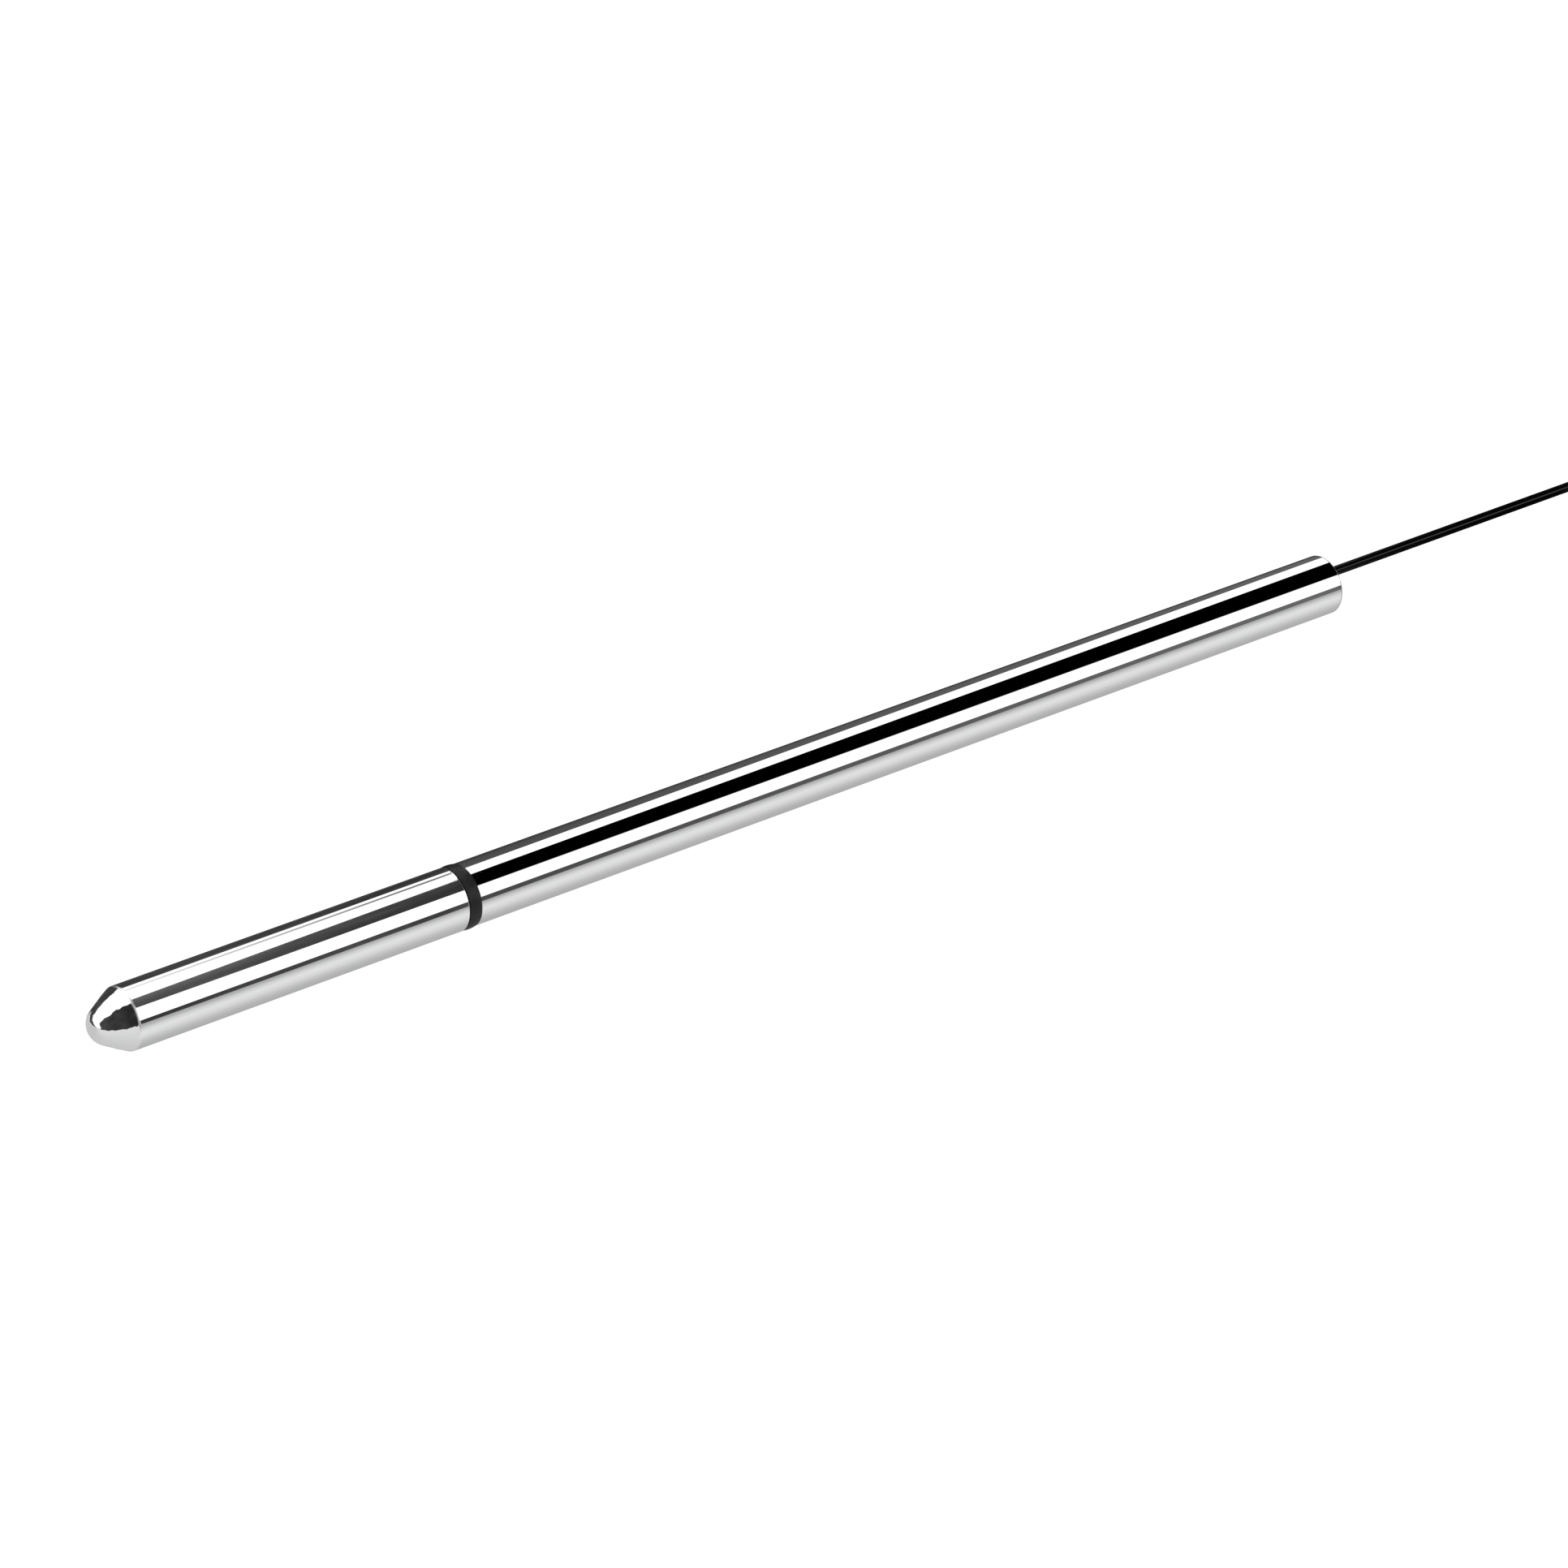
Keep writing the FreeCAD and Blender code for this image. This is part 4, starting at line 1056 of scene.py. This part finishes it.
def slab(bm, plan, levels):
    """A block over a closed plan of points about the origin. levels are (height, share), where
    the plan is drawn in to its share of each half size."""
    rings = []
    for z, (share_x, share_y) in levels:
        rings.append([bm.verts.new((x * share_x, y * share_y, z)) for x, y in plan])
    skin(bm, rings, False)
    bm.faces.new(rings[0])
    bm.faces.new(rings[-1])


def drawn_in(half_x, half_y, steps):
    """Levels of a slab from (height, inset in millimetres)."""
    return [(z, (1.0 - inset / half_x, 1.0 - inset / half_y)) for z, inset in steps]


def block(low, high):
    """A plain cutter between two corners."""
    bm = bmesh.new()
    (x0, y0, z0), (x1, y1, z1) = low, high
    slab(bm, [(x0, y0), (x1, y0), (x1, y1), (x0, y1)], [(z0, (1.0, 1.0)), (z1, (1.0, 1.0))])
    return bm


def upright(section, x, y):
    """A turned shape of (height, radius) about a vertical line."""
    bm = bmesh.new()
    lathe(bm, section, z=0.0, closed=False, segments=48)
    stand = Matrix.Translation((x, y, 0.0)) @ Matrix.Rotation(math.radians(-90.0), 4, "Y")
    bmesh.ops.transform(bm, matrix=stand, verts=bm.verts)
    return bm


def rod(radius, low, high):
    """The closed section of a plain round cutter."""
    return [(low, 0.0), (low, radius), (high, radius), (high, 0.0)]


def carved(bm, cutters):
    """The mesh less its cutters."""
    scene = bpy.context.scene.collection
    bodies = []
    for number, source in enumerate([bm, *cutters]):
        bmesh.ops.recalc_face_normals(source, faces=source.faces)
        mesh = bpy.data.meshes.new(f"carving_{number}")
        source.to_mesh(mesh)
        source.free()
        bodies.append(bpy.data.objects.new(f"carving_{number}", mesh))
        scene.objects.link(bodies[-1])
    blank = bodies[0]
    for cutter in bodies[1:]:
        carving = blank.modifiers.new(cutter.name, "BOOLEAN")
        carving.object = cutter
        carving.operation = "DIFFERENCE"
        carving.solver = "EXACT"
    result = bmesh.new()
    result.from_object(blank, bpy.context.evaluated_depsgraph_get())
    for body in bodies:
        mesh = body.data
        bpy.data.objects.remove(body)
        bpy.data.meshes.remove(mesh)
    return result


def plug_plan():
    """The plug's outline about its middle: narrow at the lead, with finger ribs on both sides."""
    half = PLUG_LENGTH / 2.0
    side = [(0.0, 4.3, 0.7), (3.3, PLUG_HALF_WIDTH, 2.0)]
    ribs_start, ribs_end, pitch, deep = 5.6, 13.1, 1.0, 0.38
    for number in range(int((ribs_end - ribs_start) / pitch) + 1):
        x = ribs_start + pitch * number
        side += [
            (x, PLUG_HALF_WIDTH, 0.0),
            (x + 0.12, PLUG_HALF_WIDTH - deep, 0.0),
            (x + 0.42, PLUG_HALF_WIDTH - deep, 0.0),
            (x + 0.54, PLUG_HALF_WIDTH, 0.0),
        ]
    side.append((PLUG_LENGTH, PLUG_HALF_WIDTH, 1.2))
    far_side = [(x, -y, turn) for x, y, turn in reversed(side)]
    return [(x - half, y) for x, y in rounded([*side, *far_side], hold=0.1)]


def plug_half(steps, cutters):
    bm = bmesh.new()
    slab(bm, plug_plan(), drawn_in(PLUG_LENGTH / 2.0, PLUG_HALF_WIDTH, steps))
    middle = (PLUG_X + PLUG_LENGTH / 2.0, HANK_Y, 0.0)
    bmesh.ops.translate(bm, vec=middle, verts=bm.verts)
    return carved(bm, cutters)


def room_cutters(parting, direction, room_length):
    """Cutters for what both halves share: the wiring room, the blades' slots and the channel for
    the boot's spigot. direction is -1 for the base and 1 for the cap. Cutters reach CUT_PAST the
    faces that they open."""
    over = parting - direction * CUT_PAST
    start = PLUG_X + WIRING_START

    def sunk(x0, y0, x1, y1, depth):
        ends = sorted((over, parting + direction * depth))
        return block((x0, HANK_Y + y0, ends[0]), (x1, HANK_Y + y1, ends[1]))

    cutters = [
        sunk(start, -WIRING_HALF_WIDTH, start + room_length, WIRING_HALF_WIDTH, WIRING_DEPTH)
    ]
    for _, across, width in BLADES:
        low, high = across - width / 2.0, across + width / 2.0
        root = PLUG_X + BLADE_ROOT - 0.02
        end = PLUG_X + PLUG_LENGTH + CUT_PAST
        cutters.append(sunk(root, low, end, high, BLADE_THICK / 2.0))
    channel = bmesh.new()
    ends = rod(BOOT_SPIGOT, PLUG_X - CUT_PAST, start + 0.02)
    lathe(channel, ends, y=HANK_Y, z=parting, closed=False, segments=48)
    return [*cutters, channel]


def make_plug_base():
    """The lower half, with the holes that the terminal screws and the cover screw go into."""
    steps = (
        (0.0, 0.75), (0.08, 0.42), (0.25, 0.18), (0.55, 0.03), (0.8, 0.0),
        (PARTING - 0.28, 0.0), (PARTING - 0.2, 0.04), (PARTING, 0.2),
    )
    cutters = room_cutters(PARTING, -1.0, 4.5)
    for _, across, _ in BLADES:
        hole = rod(TERMINAL_SHANK, PARTING - TERMINAL_HOLE_DEPTH, PARTING + CUT_PAST)
        cutters.append(upright(hole, PLUG_X + TERMINAL_PLACE, HANK_Y + across))
    hole = rod(COVER_SCREW_SHANK, 1.5, PARTING + CUT_PAST)
    cutters.append(upright(hole, PLUG_X + COVER_SCREW_PLACE, HANK_Y))
    bm = plug_half(steps, cutters)
    return piece_from(bm, "plug_base_moulded", [FINISHES["plug_body"]], ["plug_base"], sharp=28.0)


def make_plug_cap():
    """The upper half, with the cover screw's seat and a shallow sunk thumb panel."""
    top = PLUG_HEIGHT
    steps = (
        (PARTING, 0.2), (PARTING + 0.2, 0.04), (PARTING + 0.28, 0.0),
        (top - 0.8, 0.0), (top - 0.55, 0.03), (top - 0.25, 0.18), (top - 0.08, 0.42), (top, 0.75),
    )
    cutters = room_cutters(PARTING, 1.0, 9.0)
    screw_x = PLUG_X + COVER_SCREW_PLACE
    hole = rod(COVER_SCREW_SHANK + SCREW_PLAY, PARTING - CUT_PAST, top + CUT_PAST)
    seat = rod(COVER_SCREW_HEAD + SCREW_PLAY, COVER_SCREW_SEAT, top + CUT_PAST)
    cutters += [upright(hole, screw_x, HANK_Y), upright(seat, screw_x, HANK_Y)]
    panel_x, half_long, half_wide, turn, deep = PLUG_X + 8.4, 3.9, 4.6, 0.9, 0.22
    panel = bmesh.new()
    signs = ((-1.0, -1.0), (1.0, -1.0), (1.0, 1.0), (-1.0, 1.0))
    plan = rounded([(half_long * x, half_wide * y, turn) for x, y in signs])
    slab(panel, plan, [(top - deep, (0.97, 0.97)), (top + 0.5, (1.05, 1.05))])
    bmesh.ops.translate(panel, vec=(panel_x, HANK_Y, 0.0), verts=panel.verts)
    bm = plug_half(steps, [*cutters, panel])
    return piece_from(bm, "plug_cap_moulded", [FINISHES["plug_body"]], ["plug_cap"], sharp=28.0)


def make_blades():
    """Stamped flat pins with broken edges, bevelled tips and a hole for the terminal screw."""
    pieces = []
    half_long, bevel, soft = (BLADE_END - BLADE_ROOT) / 2.0, 0.6, 0.07
    middle = PLUG_X + (BLADE_ROOT + BLADE_END) / 2.0
    for name, across, width in BLADES:
        half = width / 2.0
        plan = rounded(
            [
                (-half_long, -half, 0.1),
                (half_long - bevel, -half, 0.25),
                (half_long, -half + bevel, 0.25),
                (half_long, half - bevel, 0.25),
                (half_long - bevel, half, 0.25),
                (-half_long, half, 0.1),
            ]
        )
        low, high = PARTING - BLADE_THICK / 2.0, PARTING + BLADE_THICK / 2.0
        steps = ((low, soft), (low + soft, 0.0), (high - soft, 0.0), (high, soft))
        bm = bmesh.new()
        slab(bm, plan, drawn_in(half_long, half, steps))
        bmesh.ops.translate(bm, vec=(middle, HANK_Y + across, 0.0), verts=bm.verts)
        hole = upright(rod(TERMINAL_SHANK, 1.0, 6.0), PLUG_X + TERMINAL_PLACE, HANK_Y + across)
        node = f"{name}_blade"
        material = FINISHES[SLOTS[node]]
        pieces.append(
            piece_from(carved(bm, [hole]), f"{node}_stamped", [material], [node], sharp=30.0)
        )
    return pieces


def make_cover_screw():
    """Slotted screw whose head lies flush in the cap."""
    top, head, shank, tip = PLUG_HEIGHT, COVER_SCREW_HEAD, COVER_SCREW_SHANK, 1.8
    slot_reach, slot_half, slot_deep = 2.0, 0.2, 0.45
    section = [
        (tip, 0.0),
        (tip, shank - 0.2),
        (tip + 0.2, shank),
        (COVER_SCREW_SEAT, shank),
        (COVER_SCREW_SEAT, head),
        (top - 0.3, head),
        (top - 0.14, head - 0.05),
        (top - 0.04, head - 0.18),
        (top, head - 0.4),
        (top, 0.0),
    ]
    x = PLUG_X + COVER_SCREW_PLACE
    slot = block(
        (x - slot_reach, HANK_Y - slot_half, top - slot_deep),
        (x + slot_reach, HANK_Y + slot_half, top + CUT_PAST),
    )
    bm = carved(upright(section, x, HANK_Y), [slot])
    material = FINISHES["screw_steel"]
    return piece_from(bm, "cover_screw_slotted", [material], ["cover_screw"], sharp=30.0)


def make_boot():
    """Tapered strain relief with four grooves, and a spigot held between the plug's halves."""
    start, root, tip = low_of("cable_boot").x, 1.75, 1.0
    bore = LEAD_RADIUS + 0.005

    def taper(x):
        return tip + (root - tip) * (x - start) / (PLUG_X - start)

    first_groove, pitch, wide, slope, deep = 0.9, 1.05, 0.6, 0.1, 0.27
    corners = [(start, bore, 0.0), (start, tip, 0.14)]
    for number in range(4):
        x = start + first_groove + pitch * number
        corners += [
            (x, taper(x), 0.06),
            (x + slope, taper(x) - deep, 0.05),
            (x + wide - slope, taper(x) - deep, 0.05),
            (x + wide, taper(x + wide), 0.06),
        ]
    corners += [
        (PLUG_X, root, 0.12),
        (PLUG_X, BOOT_SPIGOT, 0.0),
        (PLUG_X + WIRING_START, BOOT_SPIGOT, 0.05),
        (PLUG_X + WIRING_START, bore, 0.0),
    ]
    bm = bmesh.new()
    lathe(bm, rounded(corners, hold=0.03), y=HANK_Y, z=PARTING, segments=96)
    return piece_from(bm, "cable_boot_ribbed", [FINISHES["boot_rubber"]], ["cable_boot"], 40.0)


# ---- the whole scene ----

bpy.context.scene.view_settings.view_transform = "Standard"
make_camera()
make_world()
make_floor()
make_soft_lights()
make_nose()
make_barrel()
make_collar()
make_bush()
pieces_on_lead = [
    make_tie(),
    make_boot(),
    make_plug_base(),
    make_plug_cap(),
    *make_blades(),
    make_cover_screw(),
]
make_lead()

for name, node in frame["nodes"].items():
    node.data.materials.clear()
    node.data.materials.append(FINISHES[SLOTS[name]])
